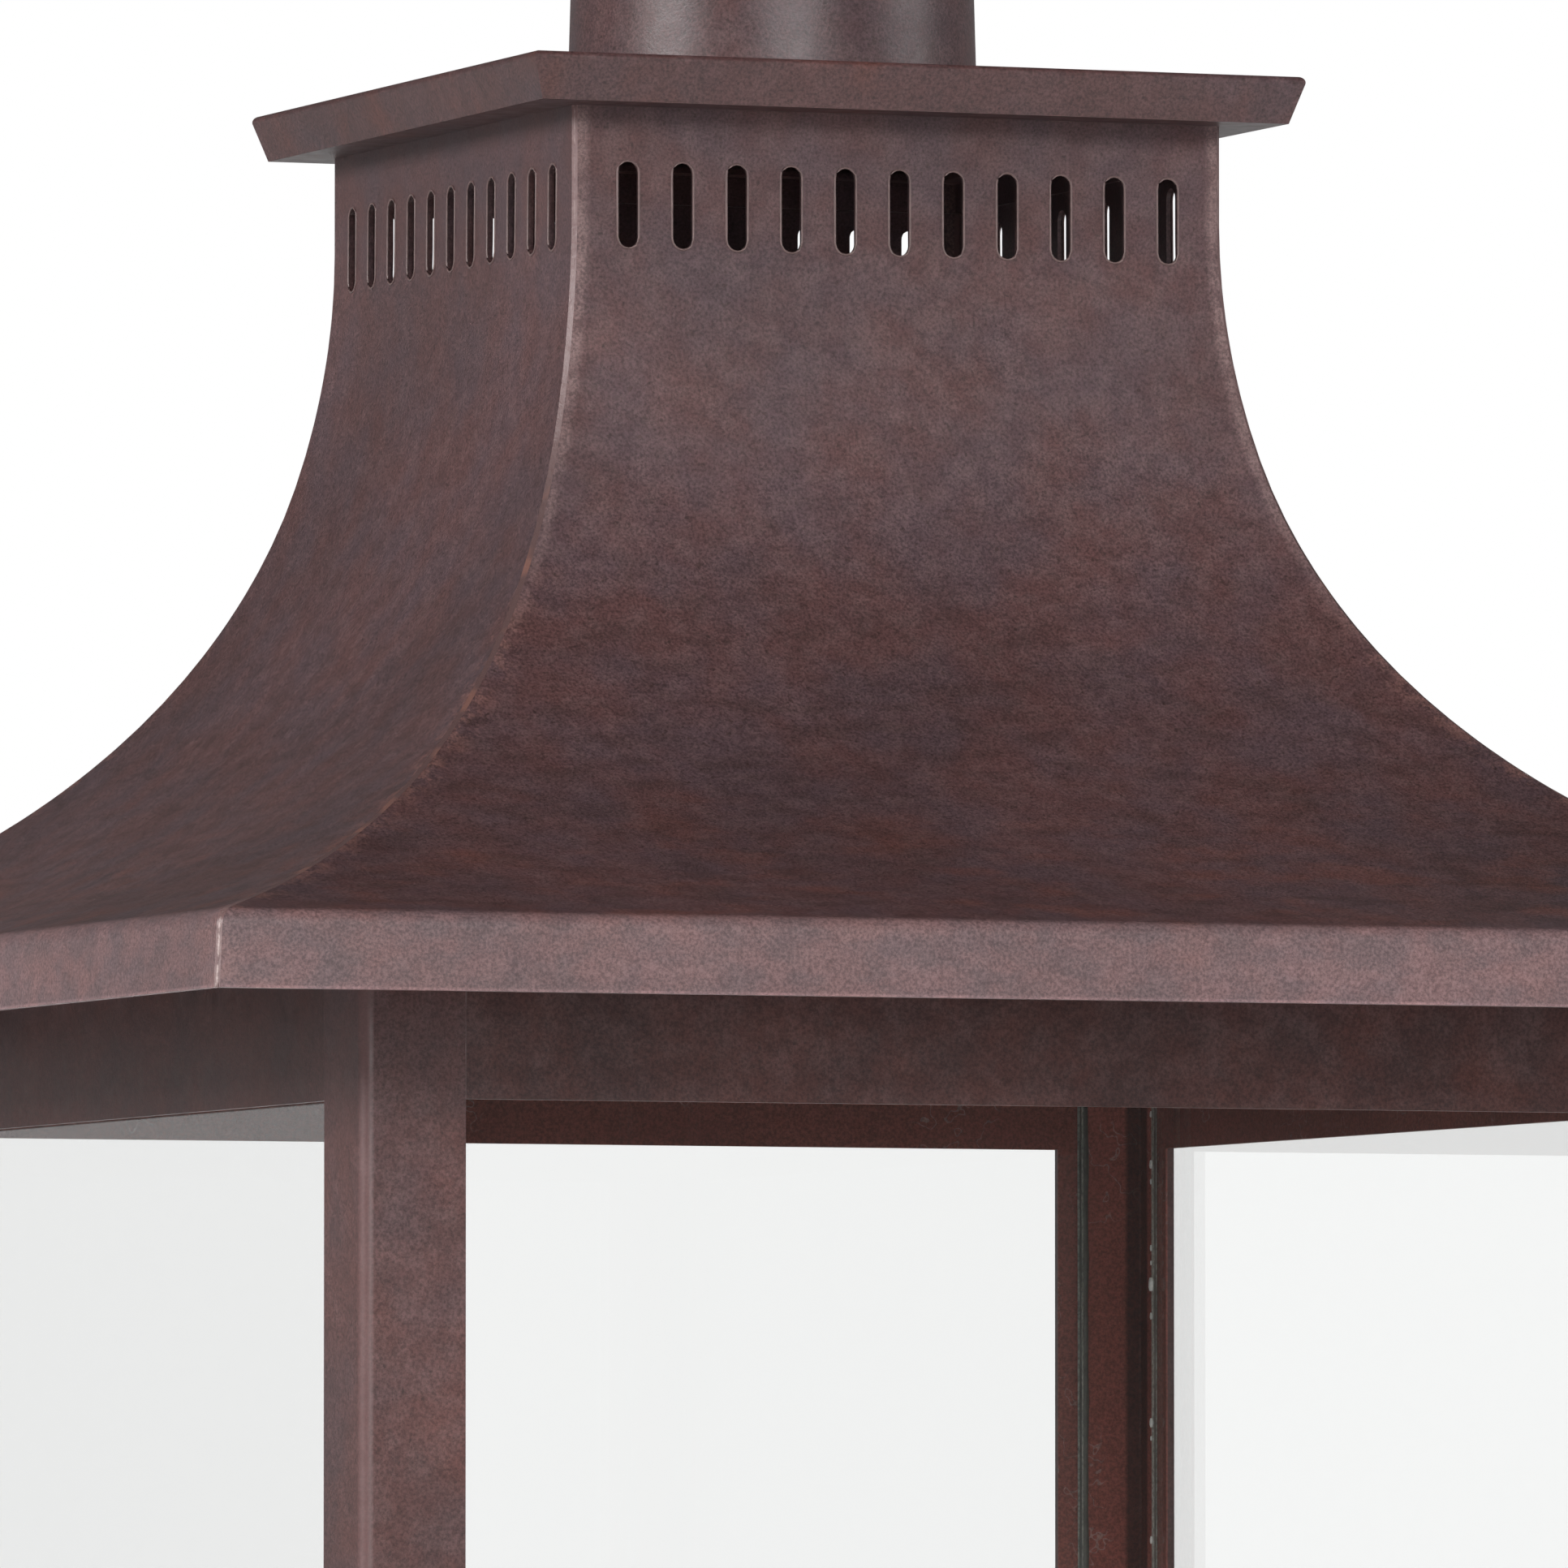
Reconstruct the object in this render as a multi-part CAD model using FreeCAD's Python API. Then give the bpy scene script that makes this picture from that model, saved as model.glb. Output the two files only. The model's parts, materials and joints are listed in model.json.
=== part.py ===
import FreeCAD, Part
import math
import os

# A square post top lantern in folded and soldered sheet metal. Millimetres, +Z up, front is -Y.
# The origin is the centre of the fitter collar's mouth, where the lantern meets its post.
# Each side piece is drawn on the +X side and turned about Z to the other three.

V = FreeCAD.Vector
Z_AXIS = V(0, 0, 1)

# Fitter collar, which slips over the post, and its set screws
POST_DIAMETER = 76.2
POST_CLEARANCE = 0.5
COLLAR_WALL = 1.8
COLLAR_HEIGHT = 76.0
SET_SCREW_RADIUS = 3.0
SET_SCREW_SHANK = 11.0
SET_SCREW_HEAD_RADIUS = 5.0
SET_SCREW_HEAD_LENGTH = 4.0
SET_SCREW_RECESS = 0.3
SET_SCREW_ANGLES = (90, 210, 330)
SET_NUT_FLATS = 11.0
SET_NUT_LENGTH = 6.0
SCREW_FIT = 0.05
DRIVER_SLOT_WIDTH = 1.2
DRIVER_SLOT_DEPTH = 1.5

# Conical cup between the collar and the base pan
CUP_SHEET = 1.2
CUP_LEDGE_RADIUS = 30.0
CUP_NECK_HEIGHT = 4.0
CUP_FLARE_HEIGHT = 13.3
CUP_FLARE_ANGLE = 40
CUP_FLANGE_RUN = 12.0

# Base pan
PAN_SHEET = 1.5
PAN_SKIRT = 6.0
PAN_MARGIN = 4.0
PAN_CORNER_INSIDE = 2.0

# Cage of four corner posts, four top rails and four bottom rails
CAGE_WIDTH = 228.6
CAGE_HEIGHT = 294.0
FRAME_SHEET = 1.5
FRAME_BEND_INSIDE = 0.5
POST_LEG = 17.5
RAIL_HEIGHT = 25.0
RAIL_FLANGE = 12.0

# Window glass and the soldered clips that hold it
GLASS_THICKNESS = 3.0
GLASS_OVERLAP = 4.0
GLASS_RISE = 16.0
GLASS_BED = 0.2
GLASS_EDGE_BEVEL = 0.4
CLIP_SHEET = 1.0
CLIP_WIDTH = 10.0
CLIP_GRIP = 8.0
CLIP_HEADROOM = 5.0
CLIP_FOOT = 4.5
CLIP_OFFSET = 60.0

# Thumb screws in the front and back top rails, which clamp the roof's locating lip
THUMB_SCREW_RADIUS = 1.75
THUMB_NUT_HEADROOM = 0.1
THUMB_HEAD_GAP = 0.3
THUMB_TIP_GAP = 0.7
THUMB_HEAD_RADIUS = 3.2
THUMB_HEAD_LENGTH = 6.0
THUMB_FLUTES = 12
THUMB_FLUTE_RADIUS = 0.5
THUMB_NUT_FLATS = 6.0
THUMB_NUT_LENGTH = 3.0

# Lamp cluster: a cup and a three-armed plate on a threaded stem
STEM_RADIUS = 5.0
STEM_BORE = 3.6
STEM_FIT = 0.2
STEM_BELOW_PAN = 12.0
STEM_ABOVE_PLATE = 9.0
STEM_NUT_FLATS = 16.0
STEM_NUT_HEIGHT = 3.5
CLUSTER_CUP_RADIUS = 24.0
CLUSTER_CUP_HEIGHT = 16.0
CLUSTER_CUP_SHEET = 1.0
LAMP_COUNT = 3
LAMP_CIRCLE_RADIUS = 38.0
LAMP_START_ANGLE = 90
PLATE_THICKNESS = 2.0
PLATE_HUB_RADIUS = 14.0
PLATE_ARM_WIDTH = 12.0
PLATE_PAD_RADIUS = 13.0
CANDLE_CUP_MARGIN = 1.0
CANDLE_CUP_RIM = 6.0
CANDLE_CUP_SLOPE = 40
CANDLE_CUP_SHEET = 1.0
SLEEVE_RADIUS = 11.0
SLEEVE_WALL = 1.2
SLEEVE_HEIGHT = 60.0
HOLDER_CLEARANCE = 0.3
HOLDER_BORE_DEPTH = 22.0
BULB_CAP_RADIUS = 5.95
BULB_CAP_CLEARANCE = 0.25
BULB_CAP_HEIGHT = 24.0
BULB_CAP_TIP_RADIUS = 3.0
BULB_CAP_TIP_HEIGHT = 2.0
BULB_GLASS = 0.8
BULB_NECK_HEIGHT = 3.0
BULB_RADIUS = 15.0
BULB_FLARE_HEIGHT = 14.0
BULB_BELLY_HEIGHT = 13.0
BULB_SHOULDER_RADIUS = 9.5
BULB_SHOULDER_HEIGHT = 17.0
BULB_TIP_HEIGHT = 10.0
GROUND_SCREW_RADIUS = 2.0
GROUND_SCREW_HEAD_RADIUS = 4.0
GROUND_SCREW_HEAD_HEIGHT = 2.5
GROUND_SCREW_LENGTH = 8.0
GROUND_SCREW_MARGIN = 8.0

# Roof: four curved panels that run from the fascia up to the slotted neck, with soldered hips
ROOF_SHEET = 1.0
EAVE_WIDTH = 305.0
EAVE_DROP = 9.4
FASCIA_LEAN = 4
FASCIA_RUN = 9.9
EAVE_BEND_INSIDE = 2.2
EAVE_PITCH = 17
EAVE_RUN = 5.6
LOWER_SWEEP_RADIUS = 150.0
LOWER_SWEEP_TURN = 16
MIDDLE_SWEEP_RADIUS = 105.0
MIDDLE_SWEEP_TURN = 42
UPPER_SWEEP_RADIUS = 150.0
NECK_STRAIGHT = 16.4
SEAM_WIDTH = 1.0
SLOT_COUNT = 11
SLOT_PITCH = 9.5
SLOT_WIDTH = 3.75
SLOT_HEIGHT = 14.3
SLOT_TOP_MARGIN = 8.8

# Soffit strips, which close the eave, seat on the cage and turn down as a locating lip
SOFFIT_SHEET = 1.0
SOFFIT_EDGE_CLEARANCE = 0.2
SOFFIT_SEAT_GAP = 0.2
LIP_CLEARANCE = 0.4
LIP_DEPTH = 8.0

# Cap on the neck
CAP_SHEET = 1.0
CAP_OVERHANG = 8.55
CAP_SPLAY = 2.5
CAP_HEIGHT = 7.7
CAP_EDGE_RADIUS = 1.0
CAP_RETURN = 3.0
NECK_ANGLE_HEIGHT = 6.0
NECK_ANGLE_WIDTH = 6.0

# Chimney and its hat
CHIMNEY_FOOT_RADIUS = 34.1
CHIMNEY_TAPER = 1.6
CHIMNEY_HEIGHT = 57.6
CHIMNEY_WALL = 1.0
HEM_HEIGHT = 7.0
HEM_SHEET = 1.2
HEM_FIT = 0.05
CROSSBAR_WIDTH = 12.0
CROSSBAR_THICKNESS = 1.5
CROSSBAR_DROP = 14.0
CROSSBAR_LUG = 8.0
STUD_RADIUS = 3.0
STUD_FIT = 0.05
STUD_NUT_FLATS = 10.0
STUD_NUT_HEIGHT = 5.0
STUD_TAIL = 2.0
SPACER_RADIUS = 5.0
HAT_RISE = 24.0
HAT_SHEET = 1.0
HAT_SEAT_RADIUS = 8.0
HAT_SLOPE = 26
HAT_SLOPE_RUN = 38.0
HAT_BRIM_RUN = 5.0
FINIAL_FOOT_RADIUS = 7.0
FINIAL_FOOT_HEIGHT = 3.0
FINIAL_WAIST_RADIUS = 4.6
FINIAL_WAIST_HEIGHT = 4.0
FINIAL_BELLY_RADIUS = 8.5
FINIAL_BELLY_HEIGHT = 6.0
FINIAL_SPIRE_HEIGHT = 17.3
FINIAL_TIP_RADIUS = 1.2
FINIAL_BORE_DEPTH = 10.0

# Sizes that follow from the ones above
bore_radius = POST_DIAMETER / 2 + POST_CLEARANCE
collar_radius = bore_radius + COLLAR_WALL
set_screw_height = COLLAR_HEIGHT / 2
pan_underside = COLLAR_HEIGHT + CUP_NECK_HEIGHT + CUP_FLARE_HEIGHT + CUP_SHEET
cup_flare_reach = CUP_FLARE_HEIGHT * math.tan(math.radians(CUP_FLARE_ANGLE))
cup_flange_radius = collar_radius + cup_flare_reach + CUP_FLANGE_RUN
ground_screw_place = cup_flange_radius + GROUND_SCREW_MARGIN
cage_bottom = pan_underside + PAN_SHEET
cage_top = cage_bottom + CAGE_HEIGHT
cage_half = CAGE_WIDTH / 2
frame_bend = FRAME_BEND_INSIDE + FRAME_SHEET
frame_inside = cage_half - FRAME_SHEET
window_half = cage_half - POST_LEG
glass_face = frame_inside - GLASS_BED
glass_inner_face = glass_face - GLASS_THICKNESS
glass_half_width = window_half + GLASS_OVERLAP
glass_bottom = cage_bottom + FRAME_SHEET
glass_top = cage_top - RAIL_HEIGHT + GLASS_RISE
flange_edge = cage_half - RAIL_FLANGE
lip_face = flange_edge - LIP_CLEARANCE
thumb_screw_height = cage_top - frame_bend - THUMB_NUT_HEADROOM - THUMB_NUT_FLATS / 2
plate_bottom = cage_bottom + CLUSTER_CUP_HEIGHT
plate_top = plate_bottom + PLATE_THICKNESS
sleeve_bottom = plate_top + CANDLE_CUP_SHEET
sleeve_top = sleeve_bottom + SLEEVE_HEIGHT
bulb_cap_bottom = sleeve_top - HOLDER_BORE_DEPTH
bulb_bottom = bulb_cap_bottom + BULB_CAP_HEIGHT
fascia_bottom = cage_top - EAVE_DROP
eave_half = EAVE_WIDTH / 2
soffit_bottom = cage_top + SOFFIT_SEAT_GAP
soffit_top = soffit_bottom + SOFFIT_SHEET
mitre_setback = SEAM_WIDTH / math.sqrt(2)
beyond = 2 * EAVE_WIDTH


def ahead(heading):
    """The direction of a heading in degrees, in the XZ plane, with 0 outwards and 90 up."""
    return V(math.cos(math.radians(heading)), 0, math.sin(math.radians(heading)))


def left_of(heading):
    return ahead(heading + 90)


def walk(start, heading, moves):
    """The corners of a path: (point, heading) at its start and after each run or bend."""
    stops = [(start, heading)]
    for kind, size, turn in moves:
        if kind == "run":
            start = start + ahead(heading) * size
        else:
            side = math.copysign(1, turn)
            centre = start + left_of(heading) * size * side
            heading = heading + turn
            start = centre - left_of(heading) * size * side
        stops.append((start, heading))
    return stops


def beside(start, heading, moves, offset):
    """The path's edges, drawn at a distance to its left."""
    edges = []
    stops = walk(start, heading, moves)
    for (kind, size, turn), (a, a_heading), (b, b_heading) in zip(moves, stops, stops[1:]):
        first = a + left_of(a_heading) * offset
        last = b + left_of(b_heading) * offset
        if kind == "run":
            edges.append(Part.makeLine(first, last))
        else:
            side = math.copysign(1, turn)
            centre = a + left_of(a_heading) * size * side
            middle = centre - left_of(a_heading + turn / 2) * (size * side - offset)
            edges.append(Part.Arc(first, middle, last).toShape())
    return edges


def sheet_face(start, heading, moves, thickness):
    """The section of a folded sheet that lies to the left of a path."""
    outer = beside(start, heading, moves, 0)
    inner = beside(start, heading, moves, thickness)
    stops = walk(start, heading, moves)
    ends = []
    for point, direction in (stops[0], stops[-1]):
        ends.append(Part.makeLine(point, point + left_of(direction) * thickness))
    return Part.Face(Part.Wire(Part.__sortEdges__(outer + inner + ends)))


def folded_face(start, heading, folds, thickness):
    """The section of a sheet with crisp folds, to the left of a path of (run, turn) pairs."""
    outer = [start]
    inner = [start + left_of(heading) * thickness]
    for run, turn in folds:
        start = start + ahead(heading) * run
        half_turn = turn / 2
        mitre = left_of(heading + half_turn) * (thickness / math.cos(math.radians(half_turn)))
        outer.append(start)
        inner.append(start + mitre)
        heading = heading + turn
    corners = outer + inner[::-1]
    return Part.Face(Part.makePolygon(corners + corners[:1]))


def polygon_face(points):
    corners = [V(x, 0, z) for x, z in points]
    return Part.Face(Part.makePolygon(corners + corners[:1]))


def turned(face):
    """A solid turned about Z from a section in the XZ plane."""
    return face.revolve(V(0, 0, 0), Z_AXIS, 360)


def ring(inner, outer, bottom, top):
    """A tube about Z."""
    solid = Part.makeCylinder(outer, top - bottom, V(0, 0, bottom))
    return solid.cut(Part.makeCylinder(inner, top - bottom, V(0, 0, bottom)))


def block(x0, x1, half_width, bottom, top):
    """A box that is centred on the X axis."""
    return Part.makeBox(x1 - x0, 2 * half_width, top - bottom, V(x0, -half_width, bottom))


def across(face, half_width):
    """A section in the XZ plane, drawn out along Y both ways."""
    solid = face.extrude(V(0, 2 * half_width, 0))
    solid.translate(V(0, -half_width, 0))
    return solid


def at_angle(shape, angle):
    copy = shape.copy()
    copy.rotate(V(0, 0, 0), Z_AXIS, angle)
    return copy


def hexagon(flats, length):
    """A hexagonal prism along +Z from the origin, with two flats square to Y."""
    points = []
    for corner in range(7):
        angle = math.radians(60 * corner)
        reach = flats / math.sqrt(3)
        points.append(V(reach * math.cos(angle), reach * math.sin(angle), 0))
    return Part.Face(Part.makePolygon(points)).extrude(V(0, 0, length))


def along_x(shape, x, z):
    """A piece that was made along +Z, laid along +X with its origin at (x, 0, z)."""
    copy = shape.copy()
    copy.rotate(V(0, 0, 0), V(0, 1, 0), 90)
    copy.translate(V(x, 0, z))
    return copy


def upright_edges(shape):
    return [e for e in shape.Edges if e.BoundBox.ZLength > 0.9 * shape.BoundBox.ZLength]


def rounded_square(half, radius, bottom, top):
    solid = block(-half, half, half, bottom, top)
    return solid.makeFillet(radius, upright_edges(solid))


def mitre_wedge(setback):
    """The part of space on the +X side between two upright mitre planes."""
    corners = [V(setback, 0, 0), V(beyond, setback - beyond, 0), V(beyond, beyond - setback, 0)]
    return Part.Face(Part.makePolygon(corners + corners[:1])).extrude(V(0, 0, beyond))


# Fitter


def fitter_collar():
    collar = ring(bore_radius, collar_radius, 0, COLLAR_HEIGHT)
    hole = Part.makeCylinder(SET_SCREW_RADIUS + SCREW_FIT, 2 * collar_radius)
    for angle in SET_SCREW_ANGLES:
        collar = collar.cut(at_angle(along_x(hole, 0, set_screw_height), angle))
    return collar


def set_screw_nut():
    nut = along_x(hexagon(SET_NUT_FLATS, COLLAR_WALL + SET_NUT_LENGTH), bore_radius, set_screw_height)
    hole = Part.makeCylinder(SET_SCREW_RADIUS + SCREW_FIT, 2 * collar_radius)
    nut = nut.cut(along_x(hole, 0, set_screw_height))
    return nut.cut(Part.makeCylinder(collar_radius, COLLAR_HEIGHT))


def set_screw():
    shank = Part.makeCylinder(SET_SCREW_RADIUS, SET_SCREW_SHANK)
    head = Part.makeCylinder(SET_SCREW_HEAD_RADIUS, SET_SCREW_HEAD_LENGTH, V(0, 0, SET_SCREW_SHANK))
    screw = shank.fuse(head).removeSplitter()
    far_end = SET_SCREW_SHANK + SET_SCREW_HEAD_LENGTH
    slot = Part.makeBox(2 * SET_SCREW_HEAD_RADIUS, DRIVER_SLOT_WIDTH, DRIVER_SLOT_DEPTH)
    slot.translate(V(-SET_SCREW_HEAD_RADIUS, -DRIVER_SLOT_WIDTH / 2, far_end - DRIVER_SLOT_DEPTH))
    return along_x(screw.cut(slot), bore_radius + SET_SCREW_RECESS, set_screw_height)


def flared_cup():
    """A cone on a short neck, with a ledge on the collar's top and a flange under the base pan."""
    flare = 90 - CUP_FLARE_ANGLE
    folds = [
        (collar_radius - CUP_LEDGE_RADIUS, 90),
        (CUP_NECK_HEIGHT, -CUP_FLARE_ANGLE),
        (CUP_FLARE_HEIGHT / math.cos(math.radians(CUP_FLARE_ANGLE)), -flare),
        (CUP_FLANGE_RUN, 0),
    ]
    return turned(folded_face(V(CUP_LEDGE_RADIUS, 0, COLLAR_HEIGHT), 0, folds, CUP_SHEET))


def base_pan():
    half = cage_half + PAN_MARGIN
    bottom = cage_bottom - PAN_SKIRT
    pan = rounded_square(half, PAN_CORNER_INSIDE + PAN_SHEET, bottom, cage_bottom)
    hollow = rounded_square(half - PAN_SHEET, PAN_CORNER_INSIDE, bottom, pan_underside)
    hole = Part.makeCylinder(STEM_RADIUS + STEM_FIT, cage_bottom)
    return pan.cut(hollow).cut(hole).cut(ground_screw_body(SCREW_FIT))


# Cage


def corner_post():
    """The front right post; its section is drawn in the XZ plane and laid flat."""
    leg = POST_LEG - frame_bend
    moves = [("run", leg, 0), ("bend", frame_bend, 90), ("run", leg, 0)]
    section = sheet_face(V(cage_half, 0, window_half), 90, moves, FRAME_SHEET)
    section.rotate(V(0, 0, 0), V(1, 0, 0), 90)
    section.translate(V(0, 0, cage_bottom))
    return section.extrude(V(0, 0, CAGE_HEIGHT))


def top_rail():
    web = RAIL_HEIGHT - frame_bend
    moves = [("run", web, 0), ("bend", frame_bend, 90), ("run", RAIL_FLANGE - frame_bend, 0)]
    section = sheet_face(V(cage_half, 0, cage_top - RAIL_HEIGHT), 90, moves, FRAME_SHEET)
    return across(section, window_half)


def drilled_top_rail():
    hole = Part.makeCylinder(THUMB_SCREW_RADIUS + SCREW_FIT, RAIL_FLANGE)
    return top_rail().cut(along_x(hole, flange_edge, thumb_screw_height))


def bottom_rail():
    web = RAIL_HEIGHT - frame_bend
    moves = [("run", RAIL_FLANGE - frame_bend, 0), ("bend", frame_bend, 90), ("run", web, 0)]
    section = sheet_face(V(flange_edge, 0, cage_bottom), 0, moves, FRAME_SHEET)
    return across(section, window_half)


def glass_pane():
    pane = block(glass_inner_face, glass_face, glass_half_width, glass_bottom, glass_top)
    return pane.makeChamfer(GLASS_EDGE_BEVEL, pane.Edges)


def top_clip():
    """A hooked clip on the rail's web that laps over the top edge of the glass."""
    inner = glass_inner_face - CLIP_SHEET
    top = glass_top + CLIP_HEADROOM
    points = [
        (inner, glass_top - CLIP_GRIP),
        (glass_inner_face, glass_top - CLIP_GRIP),
        (glass_inner_face, top - CLIP_SHEET),
        (frame_inside, top - CLIP_SHEET),
        (frame_inside, top),
        (inner, top),
    ]
    return across(polygon_face(points), CLIP_WIDTH / 2)


def bottom_clip():
    """An angle clip on the bottom rail's flange that stands against the glass."""
    inner = glass_inner_face - CLIP_SHEET
    points = [
        (inner - CLIP_FOOT, glass_bottom),
        (glass_inner_face, glass_bottom),
        (glass_inner_face, glass_bottom + CLIP_GRIP),
        (inner, glass_bottom + CLIP_GRIP),
        (inner, glass_bottom + CLIP_SHEET),
        (inner - CLIP_FOOT, glass_bottom + CLIP_SHEET),
    ]
    return across(polygon_face(points), CLIP_WIDTH / 2)


def glass_clips():
    clips = []
    for place in (-CLIP_OFFSET, CLIP_OFFSET):
        for clip in (top_clip(), bottom_clip()):
            clip.translate(V(0, place, 0))
            clips += [at_angle(clip, side) for side in SIDES.values()]
    return Part.makeCompound(clips)


def thumb_screw_nut():
    nut = along_x(hexagon(THUMB_NUT_FLATS, THUMB_NUT_LENGTH), frame_inside - THUMB_NUT_LENGTH, 0)
    hole = Part.makeCylinder(THUMB_SCREW_RADIUS + SCREW_FIT, RAIL_FLANGE)
    nut = nut.cut(along_x(hole, flange_edge, 0))
    nut.rotate(V(0, 0, 0), V(1, 0, 0), 90)
    nut.translate(V(0, 0, thumb_screw_height))
    return nut


def thumb_screw():
    tip = lip_face + THUMB_TIP_GAP
    shank_length = cage_half + THUMB_HEAD_GAP - tip
    shank = Part.makeCylinder(THUMB_SCREW_RADIUS, shank_length)
    head = Part.makeCylinder(THUMB_HEAD_RADIUS, THUMB_HEAD_LENGTH, V(0, 0, shank_length))
    flutes = []
    for flute in range(THUMB_FLUTES):
        angle = math.radians(360 * flute / THUMB_FLUTES)
        place = V(THUMB_HEAD_RADIUS * math.cos(angle), THUMB_HEAD_RADIUS * math.sin(angle), shank_length)
        flutes.append(Part.makeCylinder(THUMB_FLUTE_RADIUS, THUMB_HEAD_LENGTH, place))
    head = head.cut(flutes)
    return along_x(shank.fuse(head), tip, thumb_screw_height)


# Lamp cluster


def cluster_cup():
    folds = [(CLUSTER_CUP_HEIGHT, 90), (CLUSTER_CUP_RADIUS - STEM_RADIUS - STEM_FIT, 0)]
    return turned(folded_face(V(CLUSTER_CUP_RADIUS, 0, cage_bottom), 90, folds, CLUSTER_CUP_SHEET))


def cluster_plate():
    plate = Part.makeCylinder(PLATE_HUB_RADIUS, PLATE_THICKNESS, V(0, 0, plate_bottom))
    for angle in lamp_angles():
        arm = block(0, LAMP_CIRCLE_RADIUS, PLATE_ARM_WIDTH / 2, plate_bottom, plate_top)
        pad = Part.makeCylinder(PLATE_PAD_RADIUS, PLATE_THICKNESS, V(LAMP_CIRCLE_RADIUS, 0, plate_bottom))
        plate = plate.fuse(at_angle(arm.fuse(pad), angle))
    hole = Part.makeCylinder(STEM_RADIUS + STEM_FIT, plate_top)
    return plate.removeSplitter().cut(hole)


def cluster_stem():
    return ring(STEM_BORE, STEM_RADIUS, pan_underside - STEM_BELOW_PAN, plate_top + STEM_ABOVE_PLATE)


def stem_nuts():
    nut = hexagon(STEM_NUT_FLATS, STEM_NUT_HEIGHT).cut(Part.makeCylinder(STEM_RADIUS, STEM_NUT_HEIGHT))
    lower = nut.copy()
    lower.translate(V(0, 0, pan_underside - STEM_NUT_HEIGHT))
    upper = nut.copy()
    upper.translate(V(0, 0, plate_top))
    return Part.makeCompound([lower, upper])


def lamp_angles():
    return [LAMP_START_ANGLE + 360 * lamp / LAMP_COUNT for lamp in range(LAMP_COUNT)]


def at_lamp(shape, angle):
    """A copy of a piece made about Z, moved to one lamp's place."""
    copy = shape.copy()
    copy.translate(V(LAMP_CIRCLE_RADIUS, 0, 0))
    return at_angle(copy, angle)


def candle_cup():
    """A dished cup whose flat floor lies on the arm's pad."""
    folds = [(SLEEVE_RADIUS + CANDLE_CUP_MARGIN, CANDLE_CUP_SLOPE), (CANDLE_CUP_RIM, 0)]
    return turned(folded_face(V(0, 0, plate_top), 0, folds, CANDLE_CUP_SHEET))


def candle_sleeve():
    return ring(SLEEVE_RADIUS - SLEEVE_WALL, SLEEVE_RADIUS, sleeve_bottom, sleeve_top)


def lamp_holder():
    radius = SLEEVE_RADIUS - SLEEVE_WALL - HOLDER_CLEARANCE
    body = Part.makeCylinder(radius, SLEEVE_HEIGHT, V(0, 0, sleeve_bottom))
    bore = BULB_CAP_RADIUS + BULB_CAP_CLEARANCE
    return body.cut(Part.makeCylinder(bore, HOLDER_BORE_DEPTH, V(0, 0, bulb_cap_bottom)))


def bulb_cap():
    tip = Part.makeCylinder(BULB_CAP_TIP_RADIUS, BULB_CAP_TIP_HEIGHT, V(0, 0, bulb_cap_bottom))
    shell_height = BULB_CAP_HEIGHT - BULB_CAP_TIP_HEIGHT
    shell_bottom = bulb_cap_bottom + BULB_CAP_TIP_HEIGHT
    return tip.fuse(Part.makeCylinder(BULB_CAP_RADIUS, shell_height, V(0, 0, shell_bottom)))


def torpedo(inset):
    """The turned solid of a torpedo bulb: neck, flare, belly, shoulder and tip, less an inset."""
    levels = [
        (BULB_CAP_RADIUS, 0),
        (BULB_CAP_RADIUS, BULB_NECK_HEIGHT),
        (BULB_RADIUS, BULB_FLARE_HEIGHT),
        (BULB_RADIUS, BULB_BELLY_HEIGHT),
        (BULB_SHOULDER_RADIUS, BULB_SHOULDER_HEIGHT),
    ]
    z = bulb_bottom
    points = [(0, z)]
    for radius, rise in levels:
        z += rise
        points.append((radius - inset, z))
    points.append((0, z + BULB_TIP_HEIGHT - inset))
    return turned(polygon_face(points))


def bulb_glass():
    return torpedo(0).cut(torpedo(BULB_GLASS))


def ground_screw_body(clearance):
    place = V(0, -ground_screw_place, cage_bottom - GROUND_SCREW_LENGTH)
    return Part.makeCylinder(GROUND_SCREW_RADIUS + clearance, GROUND_SCREW_LENGTH, place)


def ground_screw():
    place = V(0, -ground_screw_place, cage_bottom)
    head = Part.makeCylinder(GROUND_SCREW_HEAD_RADIUS, GROUND_SCREW_HEAD_HEIGHT, place)
    return head.fuse(ground_screw_body(0)).removeSplitter()


# Roof


def roof_path():
    """Start, heading and moves of the roof's outer line, from the fascia's foot to the neck's top."""
    eave_heading = 180 - EAVE_PITCH
    upper_turn = eave_heading - LOWER_SWEEP_TURN - MIDDLE_SWEEP_TURN - 90
    moves = [
        ("run", FASCIA_RUN, 0),
        ("bend", EAVE_BEND_INSIDE + ROOF_SHEET, eave_heading - 90 - FASCIA_LEAN),
        ("run", EAVE_RUN, 0),
        ("bend", LOWER_SWEEP_RADIUS, -LOWER_SWEEP_TURN),
        ("bend", MIDDLE_SWEEP_RADIUS, -MIDDLE_SWEEP_TURN),
        ("bend", UPPER_SWEEP_RADIUS, -upper_turn),
        ("run", NECK_STRAIGHT, 0),
    ]
    return V(eave_half, 0, fascia_bottom), 90 + FASCIA_LEAN, moves


neck_end = walk(*roof_path())[-1][0]
neck_half = neck_end.x
neck_top = neck_end.z
cap_top = neck_top + CAP_HEIGHT
chimney_top = cap_top + CHIMNEY_HEIGHT
hat_seat = chimney_top + HAT_RISE


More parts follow.
